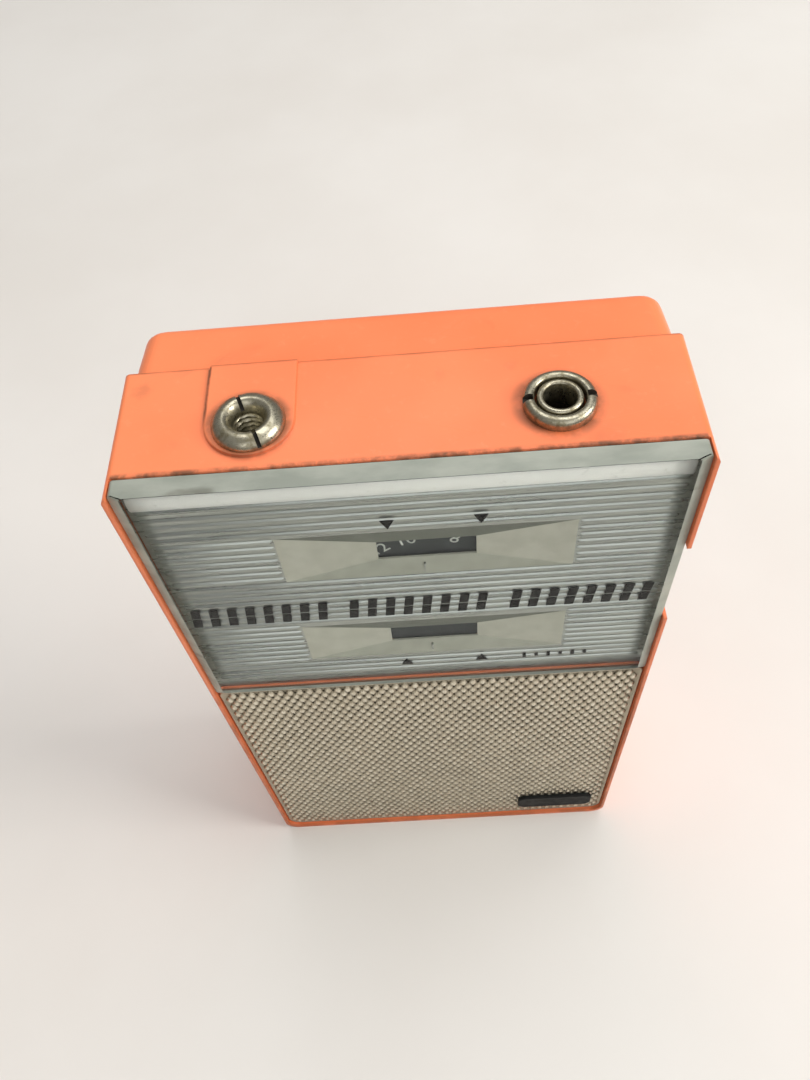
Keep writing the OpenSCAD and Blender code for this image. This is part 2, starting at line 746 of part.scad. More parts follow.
module ferrite_holders() {
    color([0.85, 0.83, 0.78]) in_frame() for (x = [-27.2, 24.2]) difference() {
        union() {
            rod_x(5.2, x, x + 3, [ferrite_y, ferrite_z]);
            block([x, board_back, board_top - 6], [x + 3, board_back + 1.8, ferrite_z - 1]);
            block([x, board_back, ferrite_z - 3.2], [x + 3, ferrite_y - 3, ferrite_z - 1]);
        }
        rod_x(4.05, x - 1, x + 4, [ferrite_y, ferrite_z]);
    }
}

// Square screening can with a slotted core in its top, standing on the board
module coil_can(at, w, h) {
    difference() {
        block([at[0] - w / 2, board_back, at[1] - w / 2], [at[0] + w / 2, board_back + h, at[1] + w / 2]);
        rod_y(1.8, board_back + h - 1.5, board_back + h + 1, at);
    }
    difference() {
        rod_y(1.6, board_back + h - 1.5, board_back + h - 0.4, at);
        translate([at[0], board_back + h - 0.4, at[1]]) cube([5, 0.8, 0.5], center = true);
    }
}

module if_cans() {
    color(nickel) in_frame() for (x = [-7.4, 1.8, 11]) coil_can([x, board_bottom + 5.4], 7.6, 11.5);
}

module oscillator_coils() {
    color(nickel) in_frame() for (x = [16.5, 24.6]) coil_can([x, axis_z - 6.8], 7.2, 11);
}

// Laminated core with a wound bobbin between its legs
module transformer(at) {
    translate([at[0], board_back, at[1]]) {
        block([-7, 1.2, -2.4], [7, 12, 2.4]);
        difference() {
            block([-4.6, 2.8, -5.4], [4.6, 10.4, 5.4]);
            block([-4.7, 2.7, -2.42], [4.7, 10.5, 2.42]);
        }
        for (sx = [-1, 1]) block([sx * 6 - 0.6, 0, -0.8], [sx * 6 + 0.6, 1.25, 0.8]);
    }
}

module audio_transformers() {
    color([0.3, 0.32, 0.36]) in_frame() {
        transformer([-16.8, board_top - 5.8]);
        transformer([-3.2, board_bottom + 15.2]);
    }
}

transistor_places = [[-20.6, axis_z - 3.8], [-14, axis_z - 3.8], [15.2, axis_z - 0.1], [15.2, axis_z + 5.5],
                     [26.4, axis_z + 0.8], [-21.3, board_bottom + 3.3], [-15.2, board_bottom + 3.3]];

module transistors() {
    color([0.5, 0.5, 0.52]) in_frame() for (at = transistor_places) {
        rod_y(2.3, board_back + 1.5, board_back + 7.5, at);
        rod_y(2.6, board_back + 1.2, board_back + 1.9, at);
        for (a = [0, 120, 240])
            rod_y(0.25, board_back, board_back + 1.3, [at[0] + 1.3 * cos(a), at[1] + 1.3 * sin(a)], $fn = 16);
    }
}

module electrolytics() {
    color([0.2, 0.35, 0.62]) in_frame() for (x = [7.3, 12.9], z = [12.2, 17.5])
        rod_y(2.45, board_back, board_back + 7 + z / 3, [x, board_bottom + z]);
}

disc_places = [[27.9, board_bottom + 9.5], [27.9, board_bottom + 15], [20.3, axis_z + 4.7],
               [22.6, axis_z + 4.7], [-27.5, axis_z + 1.3], [-25.3, axis_z + 1.3]];

// Disc capacitors on two legs, edge on to the board's sides
module ceramic_capacitors() {
    color([0.72, 0.42, 0.25]) in_frame() for (at = disc_places)
        translate([at[0], board_back + 4.2, at[1]]) {
            rotate([0, 90, 0]) cylinder(r = 2.6, h = 1.2, center = true, $fn = 32);
            for (s = [-1, 1]) rod_y(0.25, -4.2, -1, [0, s * 1.3], $fn = 16);
        }
}

resistor_places = [for (z = [-8.9, -6.1, -3.3, -0.5]) [-10, axis_z + z],
                   for (z = [10, 13.4, 16.8, 20]) [25.9, board_bottom + z]];

module resistors() {
    color([0.7, 0.5, 0.3]) in_frame() for (at = resistor_places) {
        rod_y(1.15, board_back + 0.8, board_back + 7, at, $fn = 32);
        rod_y(0.3, board_back, board_back + 0.9, at, $fn = 16);
        rod_y(0.3, board_back + 6.9, board_back + 7.6, at, $fn = 16);
    }
}

module diode() {
    at = [board_back + 1.6, board_bottom + 3];
    color([0.85, 0.7, 0.6]) in_frame() {
        rod_x(1.1, 16.2, 20, at);
        rod_x(0.25, 15.2, 21, at, $fn = 16);
    }
}

// ---------------------------------------------------------------- battery and wiring

module battery_plate() {
    color([0.5, 0.35, 0.2]) in_frame() difference() {
        block([-28, 6.4, wall + 0.2], [28, battery_y, 26]);
        block([battery_x0 - 1.6, 6, 0], [battery_x0 - 0.1, 8, 14.3]);
    }
}

module battery() {
    mid_y = battery_y + battery_d / 2;
    mid_z = battery_z + battery_h / 2;
    x1 = battery_x0 + battery_l;
    color([0.15, 0.2, 0.45]) in_frame() {
        translate([battery_x0, battery_y, battery_z]) rotate([90, 0, 90]) linear_extrude(battery_l) {
            translate([1.5, 0]) square([battery_d - 3, battery_h]);
            translate([0, 1.5]) square([battery_d, battery_h - 3]);
            for (y = [1.5, battery_d - 1.5], z = [1.5, battery_h - 1.5])
                translate([y, z]) circle(r = 1.5, $fn = 32);
        }
        rod_x(2.8, x1 - 0.1, x1 + 2.2, [mid_y, mid_z - 6.35]);
        rod_x(3.9, x1 - 0.1, x1 + 2.2, [mid_y, mid_z + 6.35]);
    }
}

module battery_snap() {
    mid_y = battery_y + battery_d / 2;
    mid_z = battery_z + battery_h / 2;
    x0 = battery_x0 + battery_l + 0.3;
    color(black) in_frame() difference() {
        block([x0, mid_y - 6.2, mid_z - 12.2], [x0 + 4.4, mid_y + 6.2, mid_z + 12.2]);
        rod_x(2.9, x0 - 1, x0 + 2.2, [mid_y, mid_z - 6.35]);
        rod_x(4.0, x0 - 1, x0 + 2.2, [mid_y, mid_z + 6.35]);
    }
}

snap_top = battery_z + battery_h / 2 + 12.2;
lead_x = battery_x0 + battery_l + 2.5;

module red_lead() {
    color([0.8, 0.1, 0.1]) in_frame()
        wire(0.6, [[lead_x, 19.6, snap_top], [lead_x, 19.6, 31], [28, 19.6, 33.5], [28, 15.5, 48],
                   [24, 13.4, 52.6], [22.5, 13.2, 55.3], [22.5, board_back, 55.3]]);
}

module black_lead() {
    color(black) in_frame()
        wire(0.6, [[lead_x, 17.6, snap_top], [lead_x, 17.6, 31], [27.6, 17.4, 33.5], [27.6, 13.5, 45],
                   [27.5, 12.7, 52], [27.5, 12.7, 55.2], [27.5, board_back, 55.2]]);
}

module speaker_wires() {
    tag_z = speaker_z + 18.7;
    color([0.9, 0.9, 0.85]) in_frame() for (s = [-1, 1])
        wire(0.5, [[s * 4, 5, tag_z], [s * 4, 6.6, tag_z], [s * 8.6, 7.8, 57.5], [s * 12.6, 8, 52.8],
                   [s * 12.6, 12.2, 52.2], [s * 12.6, 12.2, 55], [s * 12.6, board_back, 55]]);
}

module jack_wires() {
    color([0.85, 0.75, 0.2]) in_frame() for (x = [-2.15, 2.25])
        wire(0.4, [[fitting_x + x, fitting_y + 1.2, inner_top - 11.2],
                   [fitting_x + x, 13.2, inner_top - 11.2], [fitting_x + x, 13.2, board_top - 1.6],
                   [fitting_x + x, board_back, board_top - 1.6]]);
}

module antenna_wire() {
    y = fitting_y + 5.6;
    color([0.2, 0.5, 0.3]) in_frame()
        wire(0.4, [[-fitting_x, y, inner_top - 0.7], [-fitting_x, y, inner_top - 2.6],
                   [-fitting_x, 12.8, inner_top - 5], [-fitting_x, 12.8, board_top - 1],
                   [-fitting_x, board_back, board_top - 1]]);
}

// ---------------------------------------------------------------- nodes

front_case();
rear_cover();
cover_screw();
dial_lens();
dial_plate();
speaker_grille();
badge();
antenna_socket();
antenna_nut();
antenna_lug();
jack_nut();
jack_body();
jack_contacts();
tuning_wheel();
tuning_pinion();
tuning_stud();
dial_disc();
dial_gear();
dial_screw();
varicon_shaft();
varicon_body();
varicon_screws();
varicon_trimmers();
volume_wheel();
volume_screw();
volume_shaft();
volume_pot();
band_switch_body();
band_slider();
speaker_frame();
speaker_surround();
speaker_cone();
voice_coil();
speaker_yoke();
speaker_magnet();
speaker_clips();
speaker_screws();
speaker_terminals();
circuit_board();
board_screws();
ferrite_rod();
ferrite_coils();
ferrite_holders();
if_cans();
oscillator_coils();
audio_transformers();
transistors();
electrolytics();
ceramic_capacitors();
resistors();
diode();
battery_plate();
battery();
battery_snap();
red_lead();
black_lead();
speaker_wires();
jack_wires();
antenna_wire();
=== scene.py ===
"""Looks of the two-band transistor pocket radio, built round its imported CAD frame.

Everything is in metres in the CAD's own frame: x to the right of the front, y towards the back, z up.
"""

import json
import math
import random

import bmesh
import bpy
from mathutils import Euler, Matrix, Vector

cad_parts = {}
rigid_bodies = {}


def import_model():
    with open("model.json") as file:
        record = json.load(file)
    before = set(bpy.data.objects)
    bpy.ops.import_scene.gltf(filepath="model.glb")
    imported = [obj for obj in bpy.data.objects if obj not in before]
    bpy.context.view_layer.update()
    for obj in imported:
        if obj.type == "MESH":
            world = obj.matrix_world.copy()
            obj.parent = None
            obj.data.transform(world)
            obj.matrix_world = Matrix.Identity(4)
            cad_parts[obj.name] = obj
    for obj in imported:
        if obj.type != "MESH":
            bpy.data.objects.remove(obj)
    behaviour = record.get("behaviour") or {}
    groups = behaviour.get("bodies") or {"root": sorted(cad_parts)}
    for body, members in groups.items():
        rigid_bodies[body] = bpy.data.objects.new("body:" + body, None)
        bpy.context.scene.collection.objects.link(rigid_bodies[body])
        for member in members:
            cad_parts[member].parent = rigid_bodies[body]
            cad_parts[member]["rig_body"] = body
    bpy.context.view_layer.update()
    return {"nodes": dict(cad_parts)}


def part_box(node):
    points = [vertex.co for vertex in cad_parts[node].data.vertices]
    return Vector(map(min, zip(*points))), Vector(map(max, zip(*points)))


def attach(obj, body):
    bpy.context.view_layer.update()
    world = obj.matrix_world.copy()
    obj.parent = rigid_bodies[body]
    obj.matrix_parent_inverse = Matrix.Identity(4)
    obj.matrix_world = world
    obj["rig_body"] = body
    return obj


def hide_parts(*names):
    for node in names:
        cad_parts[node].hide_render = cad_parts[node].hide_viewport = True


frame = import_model()

MM = 0.001
rng = random.Random(7)


# ---------------------------------------------------------------- places taken from the frame

case_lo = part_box("front_case")[0]
lens_lo, lens_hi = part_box("dial_lens")
plate_lo, plate_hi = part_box("dial_plate")
grille_lo, grille_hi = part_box("speaker_grille")
socket_lo, socket_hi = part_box("antenna_socket")
nut_lo, nut_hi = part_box("jack_nut")
disc_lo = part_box("dial_disc")[0]

FRONT_Y = case_lo.y  # the front rim
TOP_Z = nut_lo.z  # the case's top face, which the jack's nut stands on


def middle(node):
    lo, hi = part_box(node)
    return (lo + hi) / 2


def depth(value):
    """y of a depth behind the front rim, in millimetres."""
    return FRONT_Y + value * MM


SEAM_Y = depth(2.9)  # the case's top wall begins here, behind the lens
PARTING_Y = depth(18.2)  # where the rear cover meets the front shell
DIAL = middle("dial_disc")
SOCKET = middle("antenna_socket")
JACK = middle("jack_nut")


# ---------------------------------------------------------------- materials


def srgb(r, g, b):
    """Linear colour of an 8-bit sRGB one."""

    def linear(v):
        v /= 255
        return v / 12.92 if v <= 0.04045 else ((v + 0.055) / 1.055) ** 2.4

    return (linear(r), linear(g), linear(b), 1.0)


class Look:
    """One procedural material, built socket by socket on a Principled shader."""

    def __init__(self, name, **inputs):
        self.material = bpy.data.materials.new(name)
        self.material.use_nodes = True
        self.tree = self.material.node_tree
        self.tree.nodes.clear()
        self.output = self.tree.nodes.new("ShaderNodeOutputMaterial")
        self.shader = self.tree.nodes.new("ShaderNodeBsdfPrincipled")
        self.tree.links.new(self.shader.outputs[0], self.output.inputs["Surface"])
        for key, value in inputs.items():
            self.shader.inputs[key.replace("_", " ")].default_value = value
        self.place = self.node("ShaderNodeTexCoord").outputs["Object"]
        self.height = None

    def node(self, kind, inputs=None, **settings):
        made = self.tree.nodes.new(kind)
        for key, value in settings.items():
            setattr(made, key, value)
        for key, value in (inputs or {}).items():
            if isinstance(value, bpy.types.NodeSocket):
                self.tree.links.new(value, made.inputs[key])
            else:
                made.inputs[key].default_value = value
        return made

    def set(self, socket, value):
        self.tree.links.new(value, self.shader.inputs[socket])

    def stretched(self, stretch):
        return self.node("ShaderNodeVectorMath", {0: self.place, 1: stretch}, operation="MULTIPLY").outputs[0]

    def noise(self, size, detail=3.0, stretch=(1, 1, 1), roughness=0.55, distortion=0.0):
        """Noise whose features are about size metres across, squeezed along each axis by stretch."""
        made = self.node(
            "ShaderNodeTexNoise",
            {
                "Vector": self.stretched(stretch),
                "Scale": 1 / size,
                "Detail": detail,
                "Roughness": roughness,
                "Distortion": distortion,
            },
        )
        return made.outputs[0]

    def math(self, operation, a, b=0.0):
        return self.node("ShaderNodeMath", {0: a, 1: b}, operation=operation).outputs[0]

    def remap(self, value, lo, hi, to_lo=0.0, to_hi=1.0):
        """Smooth step of value from lo..hi to to_lo..to_hi, held beyond both."""
        made = self.node(
            "ShaderNodeMapRange",
            {"Value": value, "From Min": lo, "From Max": hi, "To Min": to_lo, "To Max": to_hi},
            interpolation_type="SMOOTHSTEP",
        )
        return made.outputs[0]

    def axis(self, name):
        return self.node("ShaderNodeSeparateXYZ", {0: self.place}).outputs[name]

    def mix(self, factor, a, b):
        made = self.node("ShaderNodeMix", data_type="RGBA")
        for index, value in ((0, factor), (6, a), (7, b)):
            if isinstance(value, bpy.types.NodeSocket):
                self.tree.links.new(value, made.inputs[index])
            else:
                made.inputs[index].default_value = value
        return made.outputs[2]

    def radius(self, centre):
        """Distance from the upright through centre."""
        parts = []
        for name in "XY":
            offset = self.math("SUBTRACT", self.axis(name), getattr(centre, name.lower()))
            parts.append(self.math("MULTIPLY", offset, offset))
        return self.math("SQRT", self.math("ADD", *parts))

    def band(self, value, centre, half, soft):
        """1 where value lies within half of centre, fading over soft."""
        away = self.math("ABSOLUTE", self.math("SUBTRACT", value, centre))
        return self.remap(away, half, half + soft, 1.0, 0.0)

    def both(self, *masks):
        result = masks[0]
        for mask in masks[1:]:
            result = self.math("MULTIPLY", result, mask)
        return result

    def either(self, *masks):
        result = masks[0]
        for mask in masks[1:]:
            result = self.math("MAXIMUM", result, mask)
        return result

    def soft_edges(self, radius):
        """Shades sharp edges as if they were rounded."""
        self.height = self.node("ShaderNodeBevel", {"Radius": radius}, samples=6).outputs[0]

    def bump(self, height, distance, strength=1.0):
        """Adds height (0..1) times distance in metres to the surface."""
        inputs = {"Height": height, "Distance": distance, "Strength": strength}
        if self.height is not None:
            inputs["Normal"] = self.height
        self.height = self.node("ShaderNodeBump", inputs).outputs[0]
        self.tree.links.new(self.height, self.shader.inputs["Normal"])

    def scratches(self, size, stretch, width):
        """Thin lines: the edges of long cells."""
        cells = self.node(
            "ShaderNodeTexVoronoi",
            {"Vector": self.stretched(stretch), "Scale": 1 / size},
            feature="DISTANCE_TO_EDGE",
        )
        return self.remap(cells.outputs["Distance"], 0.0, width, 1.0, 0.0)


def moulded(name, colour, faded, roughness=0.42, grain=0.0):
    """Moulded plastic: slow colour drift, rub marks and a faint skin."""
    look = Look(name)
    drift = look.remap(look.noise(18 * MM, 4), 0.3, 0.72)
    base = look.mix(drift, colour, faded)
    rubs = look.scratches(5 * MM, (1.0, 0.35, 0.3), 0.012)
    look.set("Base Color", base)
    look.set(
        "Roughness",
        look.math(
            "ADD", look.remap(look.noise(6 * MM, 5), 0.3, 0.7, roughness - 0.06, roughness + 0.08),
            look.math("MULTIPLY", rubs, 0.15),
        ),
    )
    look.bump(look.noise(2.2 * MM, 3), 0.02 * MM, 0.6)
    if grain:
        look.bump(look.noise(0.22 * MM, 2), grain * MM, 0.7)
    return look


def case_plastic():
    """Coral-orange polystyrene with brown dirt along the lens seam and in stains, a darker ring round the foot
    of each fitting, darker patches towards the bottom, and painted shade under the lens, on the front rim, on
    the lens pocket's wall, beside the pad and along the parting line.
    """
    look = Look("orange_plastic_look", Specular_IOR_Level=0.5)
    look.soft_edges(0.35 * MM)
    drift = look.remap(look.noise(26 * MM, 3), 0.3, 0.7)
    base = look.mix(drift, srgb(250, 130, 80), srgb(254, 140, 90))
    worn = look.remap(look.noise(1.1 * MM, 4, roughness=0.7), 0.55, 0.78, 0.0, 0.35)
    base = look.mix(worn, base, srgb(255, 154, 110))
    x, y, z = look.axis("X"), look.axis("Y"), look.axis("Z")
    on_top = look.remap(z, TOP_Z - 1.2 * MM, TOP_Z - 0.3 * MM)
    blotch = look.remap(look.noise(1.6 * MM, 5, roughness=0.65), 0.36, 0.62)
    patchy = look.remap(look.noise(9 * MM, 3), 0.35, 0.6)
    between_sides = look.remap(look.math("ABSOLUTE", x), lens_hi.x - 0.2 * MM, lens_hi.x + 0.1 * MM, 1.0, 0.0)
    seam = look.both(
        between_sides,
        look.band(y, SEAM_Y, 0.15 * MM, 0.55 * MM),
        look.remap(z, lens_lo.z, lens_lo.z + 4 * MM),
        look.math("ADD", look.math("MULTIPLY", blotch, 0.55), look.math("MULTIPLY", patchy, 0.45)),
    )
    # A darker ring round the foot of the antenna socket and of the jack, on the top face.
    rings = [
        look.both(
            look.remap(look.radius(centre), near, far, 1.0, 0.0),
            on_top,
            look.remap(look.noise(2.6 * MM, 4), 0.3, 0.62, 0.35, 1.0),
        )
        for centre, near, far in ((SOCKET, 4.1 * MM, 5.3 * MM), (JACK, 4.0 * MM, 5.6 * MM))
    ]
    # Painted shadow: a dark line along the left edge of the pad round the antenna socket.
    pad_side_shadow = look.both(
        look.band(x, SOCKET.x - 5.05 * MM, 0.12 * MM, 0.22 * MM),
        look.remap(y, SOCKET.y - 1 * MM, SOCKET.y + 3 * MM),
        look.remap(y, depth(17.8), PARTING_Y, 1.0, 0.0),
        on_top,
        look.remap(look.noise(3 * MM, 3), 0.36, 0.55, 0.45, 1.0),
    )
    # Painted shade along the parting gap between the front shell and the rear cover.
    parting = look.both(
        look.band(y, PARTING_Y, 0.05 * MM, 0.35 * MM),
        look.remap(look.noise(4 * MM, 4), 0.35, 0.65, 0.3, 1.0),
    )
    # Darker towards the bottom, in patches.
    low = look.both(
        look.remap(z, 0.0, 3 * MM, 1.0, 0.0), look.remap(look.noise(3 * MM, 5), 0.42, 0.7, 0.0, 0.5)
    )
    stain = look.both(
        look.remap(look.noise(11 * MM, 4, distortion=0.6), 0.6, 0.74, 0.0, 0.22), look.remap(z, 0.05, 0.1)
    )
    # Painted shade in the strip just under the lens, above the grille.
    under_lens_shade = look.both(
        between_sides,
        look.band(z, lens_lo.z - 0.15 * MM, 0.3 * MM, 0.12 * MM),
        look.remap(y, SEAM_Y, depth(3.2), 1.0, 0.0),
    )
    # Painted shade on the lens pocket's wall, seen behind the lens.
    pocket_wall_shade = look.both(
        between_sides,
        look.remap(z, lens_lo.z - 0.2 * MM, lens_lo.z + 0.2 * MM),
        look.remap(z, TOP_Z - 0.8 * MM, TOP_Z - 0.5 * MM, 0.85, 0.0),
        look.band(y, depth(3.4), 0.6 * MM, 0.2 * MM),
    )
    # Painted shade on the front rim, stronger below the lens.
    front_rim_shade = look.both(
        look.remap(y, depth(0.1), depth(0.9), 0.55, 0.0),
        look.remap(z, lens_lo.z - 2 * MM, lens_lo.z, 1.0, 0.35),
        look.remap(look.noise(5 * MM, 4), 0.3, 0.6, 0.5, 1.0),
    )
    # Brown dirt (seam, stains) and painted shade (the other marks) are mixed into one brown colour.
    dirt_and_shade = look.either(
        under_lens_shade, front_rim_shade, pocket_wall_shade,
        look.math("MULTIPLY", seam, 0.95),
        look.math("MULTIPLY", rings[0], 0.75), look.math("MULTIPLY", rings[1], 0.7),
        look.math("MULTIPLY", pad_side_shadow, 0.8), look.math("MULTIPLY", parting, 0.4), low, stain,
    )
    look.set("Base Color", look.mix(dirt_and_shade, base, srgb(104, 68, 42)))
    fine = look.scratches(7 * MM, (0.22, 1.0, 0.5), 0.01)
    rough = look.remap(look.noise(7 * MM, 5), 0.3, 0.7, 0.3, 0.42)
    rough = look.math("ADD", rough, look.math("MULTIPLY", fine, 0.18))
    look.set("Roughness", look.math("ADD", rough, look.math("MULTIPLY", dirt_and_shade, 0.3)))
    look.bump(look.noise(9 * MM, 2), 0.06 * MM, 0.5)
    look.bump(fine, -0.006 * MM, 0.8)
    look.bump(look.noise(0.35 * MM, 3), 0.004 * MM, 0.7)
    return look


def plated(name, bright, dull, roughness=0.25, tarnish=0.5, brushed=(1, 1, 1)):
    """Plated or turned metal with tarnish in patches and fine tool marks."""
    look = Look(name, Metallic=1.0)
    patches = look.remap(look.noise(1.5 * MM, 6, roughness=0.7), 0.62 - 0.3 * tarnish, 0.8 - 0.2 * tarnish)
    look.set("Base Color", look.mix(patches, bright, dull))
    fine = look.noise(0.25 * MM, 3, stretch=brushed)
    rough = look.remap(fine, 0.3, 0.7, roughness - 0.07, roughness + 0.07)
    look.set("Roughness", look.math("ADD", rough, look.math("MULTIPLY", patches, 0.22)))
    look.bump(fine, 0.006 * MM, 0.8)
    look.bump(look.noise(1.1 * MM, 4), 0.02 * MM, 0.6)
    return look


def lens_acrylic():
    """Clear acrylic. Light passes it on its way to the plate, so it casts no shadow of its own."""
    look = Look("clear_acrylic_look", Transmission_Weight=1.0, IOR=1.49)
    haze = look.remap(look.noise(14 * MM, 4), 0.35, 0.75)
    tint = look.mix(haze, srgb(253, 254, 252), srgb(250, 252, 249))
    look.set("Base Color", tint)
    fine = look.scratches(8 * MM, (0.35, 1.0, 1.0), 0.006)
    rough = look.math("ADD", look.math("MULTIPLY", haze, 0.012), look.math("MULTIPLY", fine, 0.12))
    look.set("Roughness", rough)
    look.bump(fine, -0.001 * MM, 0.3)
    clear = look.node("ShaderNodeBsdfTransparent", {"Color": (0.95, 0.957, 0.95, 1)})
    shadow = look.node("ShaderNodeLightPath").outputs["Is Shadow Ray"]
    bent = look.node("ShaderNodeBsdfRefraction", {"Color": tint, "Roughness": 0.0, "IOR": 1.49})
    weak = look.node("ShaderNodeMixShader", {0: 0.25, 1: bent.outputs[0], 2: look.shader.outputs[0]})
    blend = look.node("ShaderNodeMixShader", {0: shadow, 1: weak.outputs[0], 2: clear.outputs[0]})
    look.tree.links.new(blend.outputs[0], look.output.inputs["Surface"])
    return look


def frosted_edge():
    """The lens's sawn edges: matt, so they scatter what the clear faces let through."""
    look = Look("lens_edge_look", Transmission_Weight=0.35, IOR=1.49)
    x = look.noise(4 * MM, 5, stretch=(0.4, 1, 1))
    base = look.mix(look.remap(x, 0.35, 0.65), srgb(166, 172, 158), srgb(196, 200, 186))
    dirt = look.remap(look.noise(6 * MM, 4, stretch=(0.4, 1, 1)), 0.6, 0.72, 0.0, 0.55)
    look.set("Base Color", look.mix(dirt, base, srgb(92, 84, 66)))
    look.set("Roughness", look.remap(x, 0.3, 0.7, 0.4, 0.6))
    look.bump(look.noise(0.3 * MM, 3, stretch=(0.2, 1, 1)), 0.012 * MM, 0.8)
    return look


def dial_aluminium():
    look = Look("dial_aluminium_look", Metallic=1.0)
    streaks = look.noise(0.5 * MM, 4, stretch=(0.03, 1, 1))
    base = look.mix(look.remap(streaks, 0.3, 0.7), srgb(152, 155, 153), srgb(174, 176, 173))
    spots = look.remap(look.noise(0.9 * MM, 3), 0.7, 0.78, 0.0, 0.7)
    look.set("Base Color", look.mix(spots, base, srgb(120, 112, 98)))
    look.set("Roughness", look.remap(streaks, 0.3, 0.7, 0.26, 0.33))
    look.bump(streaks, 0.0015 * MM, 0.6)
    return look


# Copies of this look in different tones colour the funnel facets as painted light and shade.
def funnel_matte(name, colour, lighter):
    look = Look(name, Metallic=0.15)
    mottle = look.noise(2.5 * MM, 5)
    look.set("Base Color", look.mix(look.remap(mottle, 0.3, 0.7), colour, lighter))
    look.set("Roughness", look.remap(mottle, 0.3, 0.7, 0.55, 0.68))
    look.bump(look.noise(0.15 * MM, 2), 0.01 * MM, 0.8)
    return look


def grille_metal():
    """Warm silver expanded metal: painted highlight on its raised tips, painted shade down in the openings,
    varied in patches.
    """
    look = Look("grille_metal_look", Metallic=0.85)
    y = look.axis("Y")
    raised = look.remap(y, depth(0.45), depth(0.8), 1.0, 0.0)
    dirt = look.noise(5 * MM, 5)
    # Valley colour: darker, as painted shade in the openings.
    valley = look.mix(look.remap(dirt, 0.3, 0.7), srgb(158, 149, 130), srgb(178, 168, 148))
    # Tip colour: lighter, as a painted highlight on the raised tips.
    tip = look.mix(look.remap(look.noise(1.3 * MM, 3), 0.3, 0.7), srgb(206, 196, 174), srgb(232, 226, 208))
    look.set("Base Color", look.mix(raised, valley, tip))
    look.set("Roughness", look.remap(raised, 0.0, 1.0, 0.46, 0.27))
    look.bump(look.noise(0.2 * MM, 3), 0.012 * MM, 0.8)
    return look


def dark_enamel(name, colour, roughness=0.35, shine=0.5):
    look = Look(name, Specular_IOR_Level=shine)
    mottle = look.noise(1.2 * MM, 4)
    lighter = tuple(min(1.0, 2.2 * c + 0.006) for c in colour[:3]) + (1,)
    look.set("Base Color", look.mix(look.remap(mottle, 0.5, 0.8, 0.0, 0.6), colour, lighter))
    look.set("Roughness", look.remap(mottle, 0.3, 0.7, roughness, roughness + 0.15))
    look.bump(look.noise(0.3 * MM, 3), 0.008 * MM, 0.7)
    return look


def ridged_plastic():
    """Black plastic of the thumbwheels, with dust in the grooves between the ridges."""
    look = dark_enamel("wheel_plastic_look", srgb(34, 33, 33), 0.38)
    dust = look.remap(look.noise(1.4 * MM, 5), 0.45, 0.72, 0.0, 0.5)
    base = look.mix(dust, srgb(32, 31, 31), srgb(92, 84, 74))
    look.set("Base Color", base)
    return look


def board_laminate():
    look = Look("board_laminate_look", Specular_IOR_Level=0.4)
    fibres = look.noise(0.5 * MM, 5, stretch=(1, 1, 0.25))
    base = look.mix(look.remap(fibres, 0.3, 0.7), srgb(134, 88, 44), srgb(164, 112, 60))
    flux = look.remap(look.noise(7 * MM, 4), 0.5, 0.7, 0.0, 0.5)
    look.set("Base Color", look.mix(flux, base, srgb(112, 70, 30)))
    look.set("Roughness", look.remap(fibres, 0.3, 0.7, 0.42, 0.6))
    look.bump(fibres, 0.01 * MM, 0.7)
    return look


def paper(name, colour, lighter):
    look = Look(name, Specular_IOR_Level=0.25)
    fibres = look.noise(0.6 * MM, 6, roughness=0.75)
    look.set("Base Color", look.mix(look.remap(fibres, 0.3, 0.7), colour, lighter))
    look.set("Roughness", look.remap(fibres, 0.3, 0.7, 0.8, 0.95))
    look.bump(fibres, 0.05 * MM, 0.8)
    return look


def winding(name, stretch, pitch):
    """Enamelled copper wound in turns a pitch apart along the squeezed axis."""
    look = Look(name, Metallic=0.7)
    turns = look.node(
        "ShaderNodeTexWave",
        {"Vector": look.stretched(stretch), "Scale": 0.05 / pitch, "Distortion": 0.4, "Detail": 1.0},
        bands_direction="X",
    ).outputs[1]
    tone = look.noise(2 * MM, 4)
    base = look.mix(look.remap(tone, 0.3, 0.7), srgb(146, 74, 36), srgb(186, 104, 54))
    # Darker in the troughs between the turns: painted shade in the creases.
    look.set("Base Color", look.mix(look.remap(turns, 0.0, 0.45, 0.7, 0.0), base, srgb(60, 28, 14)))
    look.set("Roughness", look.remap(tone, 0.3, 0.7, 0.3, 0.45))
    look.bump(turns, 0.08 * MM, 0.8)
    return look


def cast(name, colour, lighter, roughness=0.55, metallic=0.0):
    look = Look(name, Metallic=metallic)
    grit = look.noise(0.5 * MM, 6, roughness=0.75)
    look.set("Base Color", look.mix(look.remap(grit, 0.3, 0.75), colour, lighter))
    look.set("Roughness", look.remap(grit, 0.3, 0.7, roughness, roughness + 0.2))
    look.bump(grit, 0.05 * MM, 0.8)
    return look


def vinyl(name, colour):
    lighter = tuple(min(1.0, 1.25 * c + 0.01) for c in colour[:3]) + (1,)
    return moulded(name, colour, lighter, 0.42, grain=0.006)


def jacket():
    """Battery jacket: plain dark blue print over metal, with one pale band and rubbed edges."""
    look = Look("battery_jacket_look", Metallic=0.35)
    x = look.axis("X")
    lo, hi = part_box("battery")
    band = look.remap(x, lo.x + 0.72 * (hi.x - lo.x), lo.x + 0.725 * (hi.x - lo.x))
    base = look.mix(band, srgb(24, 42, 96), srgb(186, 178, 158))
    rub = look.remap(look.noise(1.0 * MM, 6, roughness=0.75), 0.62, 0.76, 0.0, 0.8)
    look.set("Base Color", look.mix(rub, base, srgb(168, 166, 160)))
    look.set("Roughness", look.remap(look.noise(5 * MM, 4), 0.3, 0.7, 0.28, 0.42))
    look.bump(look.noise(3 * MM, 3), 0.03 * MM, 0.6)
    return look


